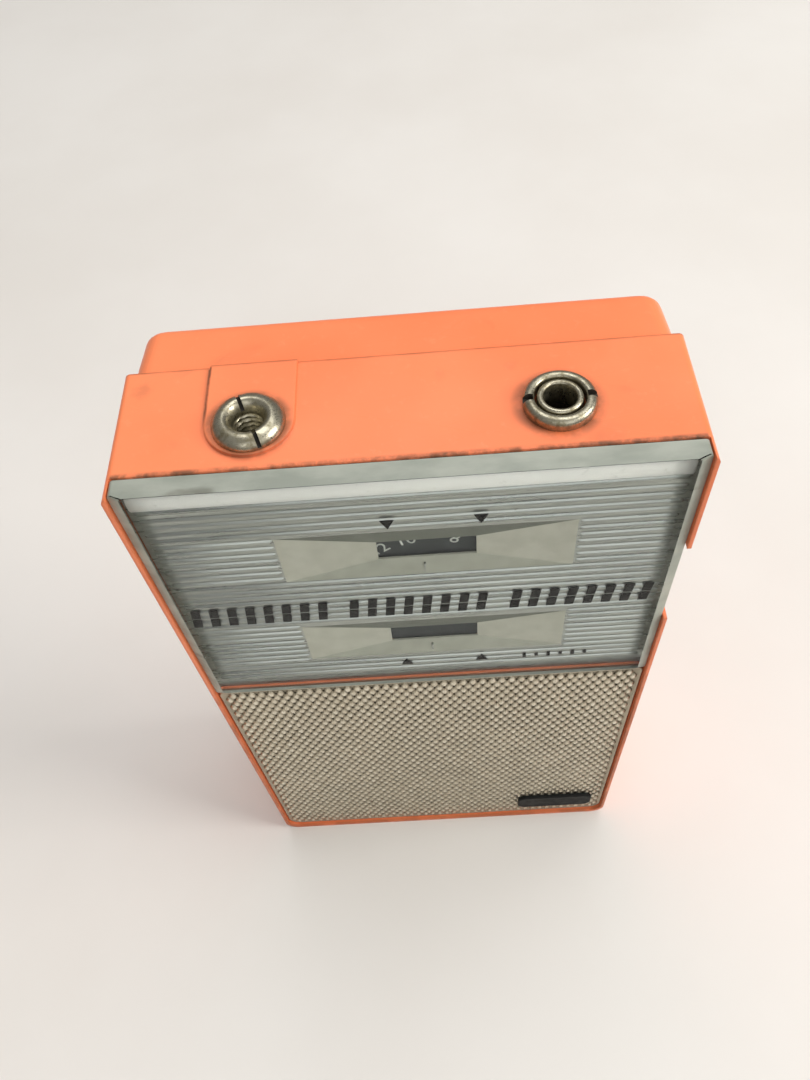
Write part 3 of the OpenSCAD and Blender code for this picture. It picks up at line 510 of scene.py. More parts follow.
# Slots whose look comes from a shared function: that function and its values
SHARED = {
    "plated_screw": (plated, srgb(202, 200, 194), srgb(128, 122, 108), 0.26, 0.35),
    "badge_black": (dark_enamel, srgb(14, 15, 13), 0.5, 0.2),
    "aged_nickel": (plated, srgb(176, 170, 150), srgb(128, 120, 96), 0.3, 0.6),
    "brass": (plated, srgb(212, 176, 104), srgb(132, 98, 50), 0.28, 0.4),
    "dark_phenolic": (moulded, srgb(34, 27, 23), srgb(52, 41, 34), 0.45, 0.01),
    "dial_grey": (dark_enamel, srgb(58, 61, 62), 0.6, 0.15),
    "cream_nylon": (moulded, srgb(222, 214, 186), srgb(232, 226, 204), 0.4, 0.006),
    "pot_fibre": (cast, srgb(150, 136, 102), srgb(176, 164, 132), 0.5),
    "plain_steel": (plated, srgb(178, 176, 168), srgb(128, 120, 100), 0.34, 0.4),
    "cone_paper": (paper, srgb(42, 38, 35), srgb(66, 60, 55)),
    "copper_winding": (winding, (1, 1, 0.001), 0.3 * MM),
    "magnet_alloy": (cast, srgb(88, 88, 92), srgb(128, 128, 132), 0.5, 0.8),
    "ferrite": (cast, srgb(40, 38, 38), srgb(66, 62, 60), 0.5),
    "transformer_iron": (cast, srgb(62, 66, 74), srgb(96, 98, 104), 0.4, 0.6),
    "transistor_can": (plated, srgb(120, 120, 124), srgb(72, 70, 70), 0.3, 0.4),
    "blue_sleeve": (moulded, srgb(36, 74, 146), srgb(52, 94, 166), 0.3),
    "disc_tan": (moulded, srgb(166, 98, 56), srgb(186, 118, 72), 0.35, 0.012),
    "resistor_body": (moulded, srgb(146, 104, 72), srgb(166, 124, 92), 0.45, 0.008),
    "diode_glass": (moulded, srgb(190, 150, 120), srgb(214, 182, 156), 0.15),
    "fibre_sheet": (paper, srgb(120, 84, 50), srgb(146, 106, 68)),
    "black_vinyl": (vinyl, srgb(30, 30, 31)),
    "red_vinyl": (vinyl, srgb(178, 32, 26)),
    "white_vinyl": (vinyl, srgb(218, 216, 206)),
    "yellow_vinyl": (vinyl, srgb(214, 180, 58)),
    "green_vinyl": (vinyl, srgb(40, 116, 62)),
}
LOOKS = {slot: make(f"{slot}_look", *values) for slot, (make, *values) in SHARED.items()}
LOOKS |= {
    "orange_plastic": case_plastic(),
    "clear_acrylic": lens_acrylic(),
    "dial_aluminium": dial_aluminium(),
    "grille_metal": grille_metal(),
    "wheel_plastic": ridged_plastic(),
    "board_laminate": board_laminate(),
    "battery_jacket": jacket(),
}
# One tone per funnel facet for how light falls on it: painted shade on the upper facet, painted light on the
# sides, a lighter painted tone on the lower facet.
FUNNEL_SIDE_PAINTED_LIGHT = funnel_matte("funnel_side_look", srgb(180, 178, 165), srgb(192, 190, 178))
FUNNEL_UPPER_PAINTED_SHADE = funnel_matte("funnel_upper_look", srgb(108, 110, 101), srgb(122, 124, 115))
FUNNEL_LOWER_PAINTED_LIGHT = funnel_matte("funnel_lower_look", srgb(158, 158, 146), srgb(170, 170, 158))
LENS_EDGE = frosted_edge()
# Near-white and only partly metallic: a painted highlight on the bead along the top of the plate.
BEAD_PAINTED_HIGHLIGHT = plated("polished_bead_look", srgb(252, 252, 250), srgb(226, 226, 222), 0.4, 0.2, (0.05, 1, 1))
BEAD_PAINTED_HIGHLIGHT.shader.inputs["Metallic"].default_value = 0.35
# Near-black look for faces cut into the fittings: painted shade inside the slot and notches.
SLOT_PAINTED_SHADE = cast("slot_dirt_look", srgb(30, 26, 20), srgb(60, 52, 40), 0.7)
INK = dark_enamel("printed_black_look", srgb(12, 11, 11), 0.6, 0.1)
DIAL_WHITE = dark_enamel("dial_white_look", srgb(188, 190, 184), 0.6, 0.2)
CLOTH = paper("grille_cloth_look", srgb(84, 79, 67), srgb(104, 98, 84))


# ---------------------------------------------------------------- mesh helpers


def add_piece(name, mesh, look, body, nodes=()):
    """Puts a mesh in the scene as a visible piece that rides on a body."""
    obj = bpy.data.objects.new(name, mesh)
    bpy.context.scene.collection.objects.link(obj)
    if mesh.materials:
        mesh.materials.clear()
    for one in look if isinstance(look, (list, tuple)) else [look]:
        mesh.materials.append(one.material)
    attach(obj, body)
    if nodes:
        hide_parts(*nodes)
    return obj


def clean(mesh):
    """Joins doubled corners and turns the faces outwards."""
    bm = bmesh.new()
    bm.from_mesh(mesh)
    bmesh.ops.remove_doubles(bm, verts=bm.verts, dist=1e-6)
    bmesh.ops.recalc_face_normals(bm, faces=bm.faces)
    bm.to_mesh(mesh)
    bm.free()


def mesh_of(name, verts, faces, smooth_angle=35):
    mesh = bpy.data.meshes.new(name)
    mesh.from_pydata([tuple(v) for v in verts], [], faces)
    clean(mesh)
    mesh.shade_smooth()
    mesh.set_sharp_from_angle(angle=math.radians(smooth_angle))
    return mesh


def edge_softening(obj, width):
    """Rounds the sharp edges and shades the flats flat."""
    bevel = obj.modifiers.new("edges", "BEVEL")
    bevel.width = width
    bevel.segments = 2
    bevel.limit_method = "ANGLE"
    bevel.angle_limit = math.radians(30)
    bevel.use_clamp_overlap = False
    weighted = obj.modifiers.new("flats", "WEIGHTED_NORMAL")
    weighted.keep_sharp = False
    return obj


def softened(node, width, below=None):
    """A cleaned copy of a CAD node with its edges rounded, cut off above the height below."""
    source = frame["nodes"][node]
    slot = source.data.materials[0].name
    mesh = bpy.data.meshes.new(f"{node}_mesh")
    bm = bmesh.new()
    bm.from_mesh(source.data)
    bmesh.ops.remove_doubles(bm, verts=bm.verts, dist=2e-6)
    bmesh.ops.dissolve_degenerate(bm, edges=bm.edges, dist=2e-6)
    if below is not None:
        everything = [*bm.verts, *bm.edges, *bm.faces]
        bmesh.ops.bisect_plane(
            bm, geom=everything, plane_co=(0, 0, below), plane_no=(0, 0, 1), clear_outer=True
        )
    bm.to_mesh(mesh)
    bm.free()
    mesh.shade_smooth()
    obj = add_piece(f"{node}_finished", mesh, LOOKS[slot], source["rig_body"], [node])
    return edge_softening(obj, width)


def lathe(name, profile, centre, twist=None):
    """Turns a closed profile of (radius, height) points, in millimetres, round the upright through centre."""
    verts, faces = [], []
    steps, rows = 96, len(profile)
    for i in range(steps):
        a = 2 * math.pi * i / steps
        for j, (r, along) in enumerate(profile):
            if twist:
                r = twist(j, r, along, a)
            verts.append((centre.x + r * MM * math.cos(a), centre.y + r * MM * math.sin(a), along * MM))
    for i in range(steps):
        k = (i + 1) % steps
        for j in range(rows):
            n = (j + 1) % rows
            faces.append((i * rows + j, i * rows + n, k * rows + n, k * rows + j))
    return mesh_of(name, verts, faces)


def cut(obj, lo, hi, turn=0.0, centre=None):
    """Cuts a box out of a piece, turned about the upright through centre, and keeps the result."""
    bm = bmesh.new()
    bmesh.ops.create_cube(bm, size=1)
    size, mid = Vector(hi) - Vector(lo), (Vector(hi) + Vector(lo)) / 2
    matrix = Matrix.Translation(mid) @ Matrix.Diagonal((*size, 1))
    if centre is not None:
        about = Matrix.Translation(centre) @ Matrix.Rotation(turn, 4, "Z") @ Matrix.Translation(-centre)
        matrix = about @ matrix
    bm.transform(matrix)
    mesh = bpy.data.meshes.new("cutter")
    bm.to_mesh(mesh)
    bm.free()
    # The cut faces take the painted shade look.
    mesh.materials.append(SLOT_PAINTED_SHADE.material)
    tool = bpy.data.objects.new("cutter", mesh)
    bpy.context.scene.collection.objects.link(tool)
    boolean = obj.modifiers.new("cut", "BOOLEAN")
    boolean.object, boolean.solver, boolean.material_mode = tool, "EXACT", "TRANSFER"
    keep_modified(obj)
    bpy.data.objects.remove(tool)
    bpy.data.meshes.remove(mesh)


def keep_modified(obj):
    """Writes what the modifiers make into the piece's own mesh."""
    made = bpy.data.meshes.new_from_object(obj.evaluated_get(bpy.context.evaluated_depsgraph_get()))
    obj.modifiers.clear()
    obj.data = made


def rounded_outline(x0, x1, z0, z1, upper, lower=None):
    """Rectangle with corners of radius upper above and lower below, as (x, z) points, anticlockwise."""
    points, steps = [], 6
    low = upper if lower is None else lower
    corners = ((x1, z1, upper, 0), (x0, z1, upper, 90), (x0, z0, low, 180), (x1, z0, low, 270))
    for side, edge, r, start in corners:
        cx = side - r if side == x1 else side + r
        cz = edge - r if edge == z1 else edge + r
        for i in range(steps + 1):
            a = math.radians(start + 90 * i / steps)
            points.append((cx + r * math.cos(a), cz + r * math.sin(a)))
    return points


def loft(name, rings, smooth_angle=35):
    """Skins a list of equal-length rings of (x, y, z) points and closes both ends."""
    count = len(rings[0])
    verts = [p for ring in rings for p in ring]
    faces = [tuple(range(count))[::-1], tuple(range((len(rings) - 1) * count, len(rings) * count))]
    for k in range(len(rings) - 1):
        for i in range(count):
            n = (i + 1) % count
            faces.append((k * count + i, k * count + n, (k + 1) * count + n, (k + 1) * count + i))
    return mesh_of(name, verts, faces, smooth_angle)


# ---------------------------------------------------------------- case and dial lens

softened("cover_screw", 0.12 * MM)


def dial_lens():
    """Bevelled lens: narrow slants at the sides and bottom, and a rounded top front edge."""
    side, low, top, slant = 1.3 * MM, 1.0 * MM, 0.03 * MM, 0.6 * MM
    flat = 0.25 * MM
    corner = 0.5 * MM
    outline = rounded_outline(
        lens_lo.x + side + flat, lens_hi.x - side - flat,
        lens_lo.z + low + flat, lens_hi.z - top - flat, corner,
    )
    rings = [[(x, lens_lo.y + 0.02 * MM, z) for x, z in outline]]
    steps = 9
    for i in range(steps):
        a = math.radians(90 * i / (steps - 1))
        back = slant * (1 - math.cos(a))
        share = 1 - back / slant
        outline = rounded_outline(
            lens_lo.x + side * share, lens_hi.x - side * share,
            lens_lo.z + low * share, lens_hi.z - top * (1 - math.sin(a)), corner,
        )
        rings.append([(x, lens_lo.y + 0.02 * MM + back, z) for x, z in outline])
    outline = rounded_outline(lens_lo.x, lens_hi.x, lens_lo.z, lens_hi.z, corner)
    rings.append([(x, lens_hi.y - 0.15 * MM, z) for x, z in outline])
    chamfer = 0.12 * MM
    outline = rounded_outline(
        lens_lo.x + chamfer, lens_hi.x - chamfer, lens_lo.z + chamfer, lens_hi.z - chamfer, 0.45 * MM
    )
    rings.append([(x, lens_hi.y, z) for x, z in outline])
    mesh = loft("dial_lens_mesh", rings, 25)
    for polygon in mesh.polygons:
        frosted = abs(polygon.normal.x) > 0.3 or abs(polygon.normal.z) > 0.99
        polygon.material_index = 1 if frosted else 0
    looks = [LOOKS["clear_acrylic"], LENS_EDGE]
    add_piece("dial_lens_clear", mesh, looks, "case", ["dial_lens"])


dial_lens()


# ---------------------------------------------------------------- dial plate

WINDOW_X = plate_lo.x / 2 + plate_hi.x / 2 + 1.4 * MM
WINDOWS_Z = (TOP_Z - 16.2 * MM, TOP_Z - 36.65 * MM)
WINDOW = (5.9 * MM, 1.775 * MM)  # half width and half height of an opening
FUNNEL_RIM = (17.5 * MM, 4.6 * MM)  # half width and half height of the funnel's outer edge
RIB_PITCH = 1.335 * MM
RIB_X = 30.2 * MM
SHEET_Y = plate_lo.y + 0.32 * MM
FUNNEL_DEPTH = 0.62 * MM
FACETS = (3, 1, 2, 1)  # place in the sheet's looks of a funnel's lower, right, upper and left side


def plate_sheet():
    """The flat sheet with its two window funnels, as one folded surface with thickness."""
    xs = [plate_lo.x, WINDOW_X - FUNNEL_RIM[0], WINDOW_X + FUNNEL_RIM[0], plate_hi.x]
    zs = [plate_lo.z]
    for wz in reversed(WINDOWS_Z):
        zs += [wz - FUNNEL_RIM[1], wz + FUNNEL_RIM[1]]
    zs.append(plate_hi.z)
    verts, faces, materials = [], [], []

    def quad(corners, material=0):
        first = len(verts)
        verts.extend(corners)
        faces.append(tuple(range(first, first + 4)))
        materials.append(material)

    for i in range(3):
        for j in range(len(zs) - 1):
            if i == 1 and j in (1, 3):
                continue
            quad([(xs[i], SHEET_Y, zs[j]), (xs[i + 1], SHEET_Y, zs[j]), (xs[i + 1], SHEET_Y, zs[j + 1]),
                  (xs[i], SHEET_Y, zs[j + 1])])
    for wz in WINDOWS_Z:
        outer = [(WINDOW_X + sx * FUNNEL_RIM[0], SHEET_Y, wz + sz * FUNNEL_RIM[1])
                 for sx, sz in ((-1, -1), (1, -1), (1, 1), (-1, 1))]
        inner = [(WINDOW_X + sx * WINDOW[0], SHEET_Y + FUNNEL_DEPTH, wz + sz * WINDOW[1])
                 for sx, sz in ((-1, -1), (1, -1), (1, 1), (-1, 1))]
        lip = [(x, y + 0.25 * MM, z) for x, y, z in inner]
        for k in range(4):
            n = (k + 1) % 4
            quad([outer[k], outer[n], inner[n], inner[k]], FACETS[k])
            quad([inner[k], inner[n], lip[n], lip[k]], FACETS[k])
    mesh = bpy.data.meshes.new("dial_plate_mesh")
    mesh.from_pydata(verts, [], faces)
    return mesh, materials


def rib_profile(half, height):
    shoulder, rise = 0.62 * half, 0.72 * height
    return [(-half, 0.0), (-shoulder, rise), (0.0, height), (shoulder, rise), (half, 0.0)]


def add_bar(verts, faces, x0, x1, z, profile, base_y, taper):
    """A long raised bar with tapered ends, lying along x."""
    count = len(profile)
    first = len(verts)
    for x, scale in ((x0, 0.35), (x0 + taper, 1.0), (x1 - taper, 1.0), (x1, 0.35)):
        verts.extend((x, base_y - h * scale, z + dz * (0.7 + 0.3 * scale)) for dz, h in profile)
    for k in range(3):
        for i in range(count - 1):
            a = first + k * count + i
            faces.append((a, a + 1, a + count + 1, a + count))
    faces.append(tuple(range(first, first + count)))
    faces.append(tuple(range(first + 3 * count, first + 4 * count))[::-1])


def plate_ribs():
    verts, faces = [], []
    height = SHEET_Y - plate_lo.y
    count = 31
    top, first_gap = TOP_Z - 5.05 * MM, 0.2 * MM
    jitter = 0.12 * MM
    for i in range(count):
        z = top - i * RIB_PITCH - (first_gap if i else 0)
        crossing = any(abs(z - wz) < FUNNEL_RIM[1] + 0.35 * MM for wz in WINDOWS_Z)
        spans = [(-RIB_X, RIB_X)]
        if crossing:
            clear = FUNNEL_RIM[0] + 0.15 * MM
            spans = [(-RIB_X, WINDOW_X - clear), (WINDOW_X + clear, RIB_X)]
        for x0, x1 in spans:
            add_bar(verts, faces, x0 + rng.uniform(0, jitter), x1 - rng.uniform(0, jitter), z,
                    rib_profile(0.34 * MM, height), SHEET_Y + 0.01 * MM, 0.35 * MM)
    return verts, faces


def plate_bead():
    """The broad bead along the top of the plate, coloured near-white as a painted highlight."""
    verts, faces = [], []
    half, steps = 1.25 * MM, 14
    height = SHEET_Y - plate_lo.y
    profile = [
        (half * (2 * k / steps - 1), height * 1.1 * math.sin(math.pi * k / steps) ** 0.6)
        for k in range(steps + 1)
    ]
    add_bar(verts, faces, -RIB_X - 0.3 * MM, RIB_X + 0.3 * MM, TOP_Z - 3.45 * MM, profile, SHEET_Y, 0.2 * MM)
    mesh = mesh_of("dial_bead_mesh", verts, faces, 50)
    add_piece("dial_plate_bead", mesh, BEAD_PAINTED_HIGHLIGHT, "case")


def dial_plate():
    mesh, materials = plate_sheet()
    clean(mesh)
    looks = [LOOKS["dial_aluminium"], FUNNEL_SIDE_PAINTED_LIGHT, FUNNEL_UPPER_PAINTED_SHADE, FUNNEL_LOWER_PAINTED_LIGHT]
    sheet = add_piece("dial_plate_sheet", mesh, looks, "case", ["dial_plate"])
    for polygon, material in zip(mesh.polygons, materials):
        polygon.material_index = material
    solid = sheet.modifiers.new("thickness", "SOLIDIFY")
    solid.thickness, solid.offset = 0.25 * MM, -1
    verts, faces = plate_ribs()
    add_piece("dial_plate_ribs", mesh_of("dial_ribs_mesh", verts, faces, 50), LOOKS["dial_aluminium"], "case")
    plate_bead()


dial_plate()


def slab_mesh(name, quads, y0, y1):
    """Thin raised shapes: each is a list of (x, z) corners, between the depths y0 and y1."""
    verts, faces = [], []
    for quad in quads:
        first, n = len(verts), len(quad)
        verts.extend((x, y0, z) for x, z in quad)
        verts.extend((x, y1, z) for x, z in quad)
        faces.append(tuple(range(first, first + n)))
        faces.append(tuple(range(first + n, first + 2 * n))[::-1])
        for i in range(n):
            k = (i + 1) % n
            faces.append((first + i, first + n + i, first + n + k, first + k))
    return mesh_of(name, verts, faces)


def upright_bar(x, z, wide, tall):
    """Corners of a bar that starts at x and is centred on the height z."""
    low, high = z - tall / 2, z + tall / 2
    return [(x, low), (x + wide, low), (x + wide, high), (x, high)]


def plate_print():
    """Plain printed marks: a band of slanted slats in place of the lettering, arrows and short scale bars."""
    quads = []
    low, high = TOP_Z - 29.75 * MM, TOP_Z - 25.75 * MM
    lean = 0.45 * MM
    for group, count in ((-29.9, 8), (-9.4, 8), (11.4, 8)):
        for i in range(count):
            x = (group + 2.35 * i) * MM
            wide = 1.15 * MM
            mid = (low + high) / 2
            gap = 0.16 * MM
            for z0, z1 in ((low, mid - gap), (mid + gap, high)):
                s0, s1 = lean * (z0 - low) / (high - low), lean * (z1 - low) / (high - low)
                quads.append([(x + s0, z0), (x + wide + s0, z0), (x + wide + s1, z1), (x + s1, z1)])
    for wz, side in ((WINDOWS_Z[0], 1), (WINDOWS_Z[1], -1)):
        for x in (-4.2 * MM, 6.4 * MM):
            z = wz + side * 6.5 * MM
            tip = z - side * 0.9 * MM
            foot, half = z + side * 0.7 * MM, 0.8 * MM
            quads.append([(WINDOW_X + x - half, foot), (WINDOW_X + x + half, foot), (WINDOW_X + x, tip)])
    for i in range(6):
        x, z = (13.6 + 1.7 * i) * MM, WINDOWS_Z[1] - 6.6 * MM
        tall = 0.8 * MM if i % 2 else 1.25 * MM
        quads.append(upright_bar(x, z, 0.45 * MM, tall))
    mesh = slab_mesh("plate_print_mesh", quads, plate_lo.y - 0.06 * MM, plate_lo.y + 0.05 * MM)
    add_piece("plate_print", mesh, INK, "case")
    ticks = []
    for wz in WINDOWS_Z:
        x, z = WINDOW_X - 0.5 * MM, wz - WINDOW[1] - 1.6 * MM
        ticks.append(upright_bar(x, z, 0.22 * MM, 1.5 * MM))
    mesh = slab_mesh("plate_ticks_mesh", ticks, SHEET_Y + 0.05 * MM, SHEET_Y + 0.4 * MM)
    add_piece("plate_ticks", mesh, LOOKS["dial_aluminium"], "case")


plate_print()


# ---------------------------------------------------------------- speaker grille and badge


def grille_sheet():
    """Staggered diamond bumps with an upright slit between every four, inside a folded edge."""
    half_x, half_z = 0.7175 * MM, 1.3 * MM
    slit_x, slit_z = 0.17 * MM, 0.45 * MM
    base, tip = depth(0.78), depth(0.42)
    t = 1 / (half_x / slit_x + half_z / slit_z)
    outer = []
    for sx, sz in ((1, 0), (0, -1), (-1, 0), (0, 1)):
        if sx:
            near, off = sx * half_x * (1 - t), sx * half_z * t
            ring = [(near, off), (sx * (half_x - slit_x), 0), (near, -off)]
        else:
            near, off = sz * half_z * (1 - t), sz * half_x * t
            ring = [(-off, near), (0, sz * (half_z - slit_z)), (off, near)]
        outer += ring
    margin = 0.3 * MM
    x0, x1 = grille_lo.x + margin, grille_hi.x - margin
    z0, z1 = grille_lo.z + margin, grille_hi.z - margin
    mid_x, mid_z = (x0 + x1) / 2, (z0 + z1) / 2
    across, up = int((x1 - x0) / half_x / 2) + 2, int((z1 - z0) / half_z / 2) + 2
    verts, faces = [], []
    corner, edge = 2.2 * MM, 0.1 * MM

    def in_corner(cx, cz):
        """True outside the rounding of the two lower corners."""
        dx = max(grille_lo.x + corner - cx, cx - grille_hi.x + corner)
        dz = grille_lo.z + corner - cz
        return dx > 0 and dz > 0 and math.hypot(dx, dz) > corner - 0.7 * half_x

    for j in range(-up, up + 1):
        for i in range(-across, across + 1):
            if (i + j) % 2:
                continue
            cx, cz = mid_x + i * half_x, mid_z + j * half_z
            if not (grille_lo.x + half_x < cx < grille_hi.x - half_x):
                continue
            if not (grille_lo.z + 0.6 * half_z < cz < grille_hi.z - 0.6 * half_z):
                continue
            if in_corner(cx, cz):
                continue
            near_x, near_z = 0.3 * half_x, 0.3 * half_z
            inside = x0 < cx - near_x and cx + near_x < x1 and z0 < cz - near_z and cz + near_z < z1
            lift = (base - tip) * (rng.uniform(0.8, 1.0) if inside else 0.05)
            first = len(verts)
            for scale, share in ((1.0, 0.0), (0.62, 0.55), (0.3, 0.93)):
                for px, pz in outer:
                    pz = min(max(cz + pz * scale, grille_lo.z + edge), grille_hi.z - edge)
                    verts.append((cx + px * scale, base - lift * share, pz))
            verts.append((cx, base - lift, cz))
            for ring in range(2):
                for k in range(12):
                    n = (k + 1) % 12
                    a = first + ring * 12
                    faces.append((a + k, a + n, a + 12 + n, a + 12 + k))
            for k in range(12):
                faces.append((first + 24 + k, first + 24 + (k + 1) % 12, first + 36))
    mesh = mesh_of("speaker_grille_mesh", verts, faces, 60)
    metal = LOOKS["grille_metal"]
    sheet = add_piece("speaker_grille_mesh_sheet", mesh, metal, "case", ["speaker_grille"])
    solid = sheet.modifiers.new("thickness", "SOLIDIFY")
    solid.thickness, solid.offset = 0.22 * MM, -1


def grille_edge():
    """The folded rim: a rounded strip round the sheet that turns back towards the case."""
    section = [(1.5, 0.92), (0.5, 0.84), (0.38, 0.72), (0.22, 0.68), (0.08, 0.74), (0.0, 0.95), (0.0, 1.7),
               (0.25, 1.7), (0.3, 1.0)]
    rings = []
    for inset, back in section:
        outline = rounded_outline(
            grille_lo.x + inset * MM, grille_hi.x - inset * MM,
            grille_lo.z + inset * MM, grille_hi.z - inset * MM,
            max(0.25, 0.9 - inset * 0.6) * MM, (2.2 - 0.6 * inset) * MM,
        )
        rings.append([(x, depth(back), z) for x, z in outline])
    count = len(rings[0])
    verts = [p for ring in rings for p in ring]
    faces = []
    for k in range(len(rings)):
        m = (k + 1) % len(rings)
        for i in range(count):
            n = (i + 1) % count
            faces.append((k * count + i, k * count + n, m * count + n, m * count + i))
    mesh = mesh_of("grille_edge_mesh", verts, faces, 60)
    add_piece("speaker_grille_edge", mesh, LOOKS["grille_metal"], "case")


def grille_cloth():
    """Dark cloth behind the openings, so the case doesn't show through."""
    inset = 0.5 * MM
    outline = rounded_outline(
        grille_lo.x + inset, grille_hi.x - inset, grille_lo.z + inset, grille_hi.z - inset, 0.6 * MM, 1.8 * MM
    )
    mesh = slab_mesh("grille_cloth_mesh", [outline], depth(1.25), depth(1.55))
    add_piece("grille_cloth", mesh, CLOTH, "case")


def badge():
    lo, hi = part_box("badge")
    rings = []
    section = [(0.9, 0.04), (0.7, 0.04), (0.5, 0.0), (0.3, 0.0), (0.1, 0.06), (0.0, 0.2), (0.0, 0.6)]
    for inset, back in section:
        outline = rounded_outline(
            lo.x + inset * MM, hi.x - inset * MM, lo.z + inset * MM, hi.z - inset * MM,
            max(0.3, 1.5 - inset) * MM,
        )
        rings.append([(x, lo.y + back * MM, z) for x, z in outline])
    mesh = loft("badge_mesh", rings, 40)
    add_piece("badge_blank", mesh, LOOKS["badge_black"], "case", ["badge"])


grille_sheet()
grille_edge()
grille_cloth()
badge()


# ---------------------------------------------------------------- top fittings


def antenna_socket():
    top, base, foot = socket_hi.z / MM, TOP_Z / MM + 0.4, socket_lo.z / MM
    outside = [
        (1.75, foot), (3.0, foot), (3.0, base - 0.1), (4.08, base - 0.05), (4.1, base + 0.2),
        (4.02, base + 0.5), (3.8, base + 0.82), (3.5, base + 1.08), (3.15, base + 1.28), (2.85, base + 1.37),
        (2.6, base + 1.38), (2.4, base + 1.3), (2.2, base + 1.12), (2.03, base + 0.88), (1.9, base + 0.6),
        (1.8, base + 0.3),
    ]
    pitch, rows = 0.7, 10
    inside = [(1.76, base + 0.1 - pitch * k / rows) for k in range(1, int((base - foot) / pitch) * rows)]
    profile = outside + inside
    start = len(outside)

    def thread(index, r, along, angle):
        if index < start:
            return r
        turn = (along / pitch - angle / (2 * math.pi)) % 1
        fade = min(1.0, (index - start) / rows)
        return r - 0.26 * (1 - abs(2 * turn - 1)) ** 1.2 * fade

    mesh = lathe("antenna_socket_mesh", profile, SOCKET, twist=thread)
    nickel = LOOKS["aged_nickel"]
    obj = add_piece("antenna_socket_turned", mesh, nickel, "case", ["antenna_socket"])
    centre = Vector((SOCKET.x, SOCKET.y, top * MM))
    cut(obj, centre - Vector((6 * MM, 0.22 * MM, 1.15 * MM)), centre + Vector((6 * MM, 0.22 * MM, 2 * MM)),
        math.radians(112), centre)
    obj.data.shade_smooth()
    obj.data.set_sharp_from_angle(angle=math.radians(40))


def jack_fitting():
    base = TOP_Z / MM
    ring = [
        (2.78, base), (3.98, base), (4.0, base + 0.15), (4.0, base + 0.75), (3.93, base + 1.0),
        (3.72, base + 1.25), (3.5, base + 1.38), (3.3, base + 1.43), (3.0, base + 1.4), (2.85, base + 1.28),
        (2.78, base + 1.1),
    ]
    mesh = lathe("jack_nut_mesh", ring, JACK)
    nut = add_piece("jack_nut_turned", mesh, LOOKS["aged_nickel"], "case", ["jack_nut"])
    for side in (-1, 1):
        centre = Vector((JACK.x + side * 3.9 * MM, JACK.y, nut_hi.z))
        cut(nut, centre - Vector((1.0, 0.42, 0.75)) * MM, centre + Vector((1.0, 0.42, 0.75)) * MM)
    nut.data.shade_smooth()
    nut.data.set_sharp_from_angle(angle=math.radians(40))
    softened("jack_body", 0.12 * MM, below=(base - 1.85) * MM)
    lip = [
        (2.49, base - 1.9), (2.49, base + 1.05), (2.42, base + 1.22), (2.25, base + 1.33),
        (2.05, base + 1.34), (1.88, base + 1.24), (1.8, base + 1.08), (1.78, base - 1.9),
    ]
    mesh = lathe("jack_bushing_mesh", lip, JACK)
    add_piece("jack_bushing", mesh, LOOKS["aged_nickel"], "case")


antenna_socket()
jack_fitting()


# ---------------------------------------------------------------- dial disc and its figures

# The disc is drawn bigger than its CAD node, so that its edge stays out of sight in the lower window.
# At that size its rim cuts up to 0.26 mm into the tuning pinion's teeth, 0.05 mm deep.
DISC_GROWTH = 1.11
disc = softened("dial_disc", 0.06 * MM)
disc.data.transform(
    Matrix.Translation(DIAL) @ Matrix.Diagonal((DISC_GROWTH, 1, DISC_GROWTH, 1)) @ Matrix.Translation(-DIAL)
)


def figure(text, size):
    """Flat figure, centred on the origin, in the x-y plane."""
    curve = bpy.data.curves.new("figure", "FONT")
    curve.body, curve.size = text, size
    curve.align_x = curve.align_y = "CENTER"
    curve.extrude = 0.012 * MM
    curve.resolution_u = 3
    obj = bpy.data.objects.new("figure", curve)
    bpy.context.scene.collection.objects.link(obj)
    mesh = bpy.data.meshes.new_from_object(obj.evaluated_get(bpy.context.evaluated_depsgraph_get()))
    bpy.data.objects.remove(obj)
    bpy.data.curves.remove(curve)
    return mesh


def dial_scale():
    """The two number scales on the disc, turned so that each reads upright in its window."""
    bm = bmesh.new()
    radius = 10.25 * MM
    upper = {"12": -34, "10": -14, "8": 19, "7": 45, "6": 75, "5": 105, "4": 132}
    lower = dict(zip(("6", "7", "9", "12", "15", "18"), range(224, 310, 17)))
    face = disc_lo.y - 0.02 * MM
    upright = Matrix.Rotation(math.radians(90), 4, "X")

    def stamp(mesh, angle, flip):
        a = math.radians(angle)
        at = Vector((DIAL.x + radius * math.sin(a), face, DIAL.z + radius * math.cos(a)))
        turn = Matrix.Rotation(a + (math.pi if flip else 0), 4, "Y")
        mesh.transform(Matrix.Translation(at) @ turn @ upright)
        bm.from_mesh(mesh)
        bpy.data.meshes.remove(mesh)

    for scale, flip in ((upper, False), (lower, True)):
        for text, angle in scale.items():
            stamp(figure(text, 2.5 * MM), angle, flip)
    mesh = bpy.data.meshes.new("dial_scale_mesh")
    bm.to_mesh(mesh)
    bm.free()
    add_piece("dial_scale", mesh, DIAL_WHITE, "dial")


dial_scale()


# ---------------------------------------------------------------- thumbwheels and works

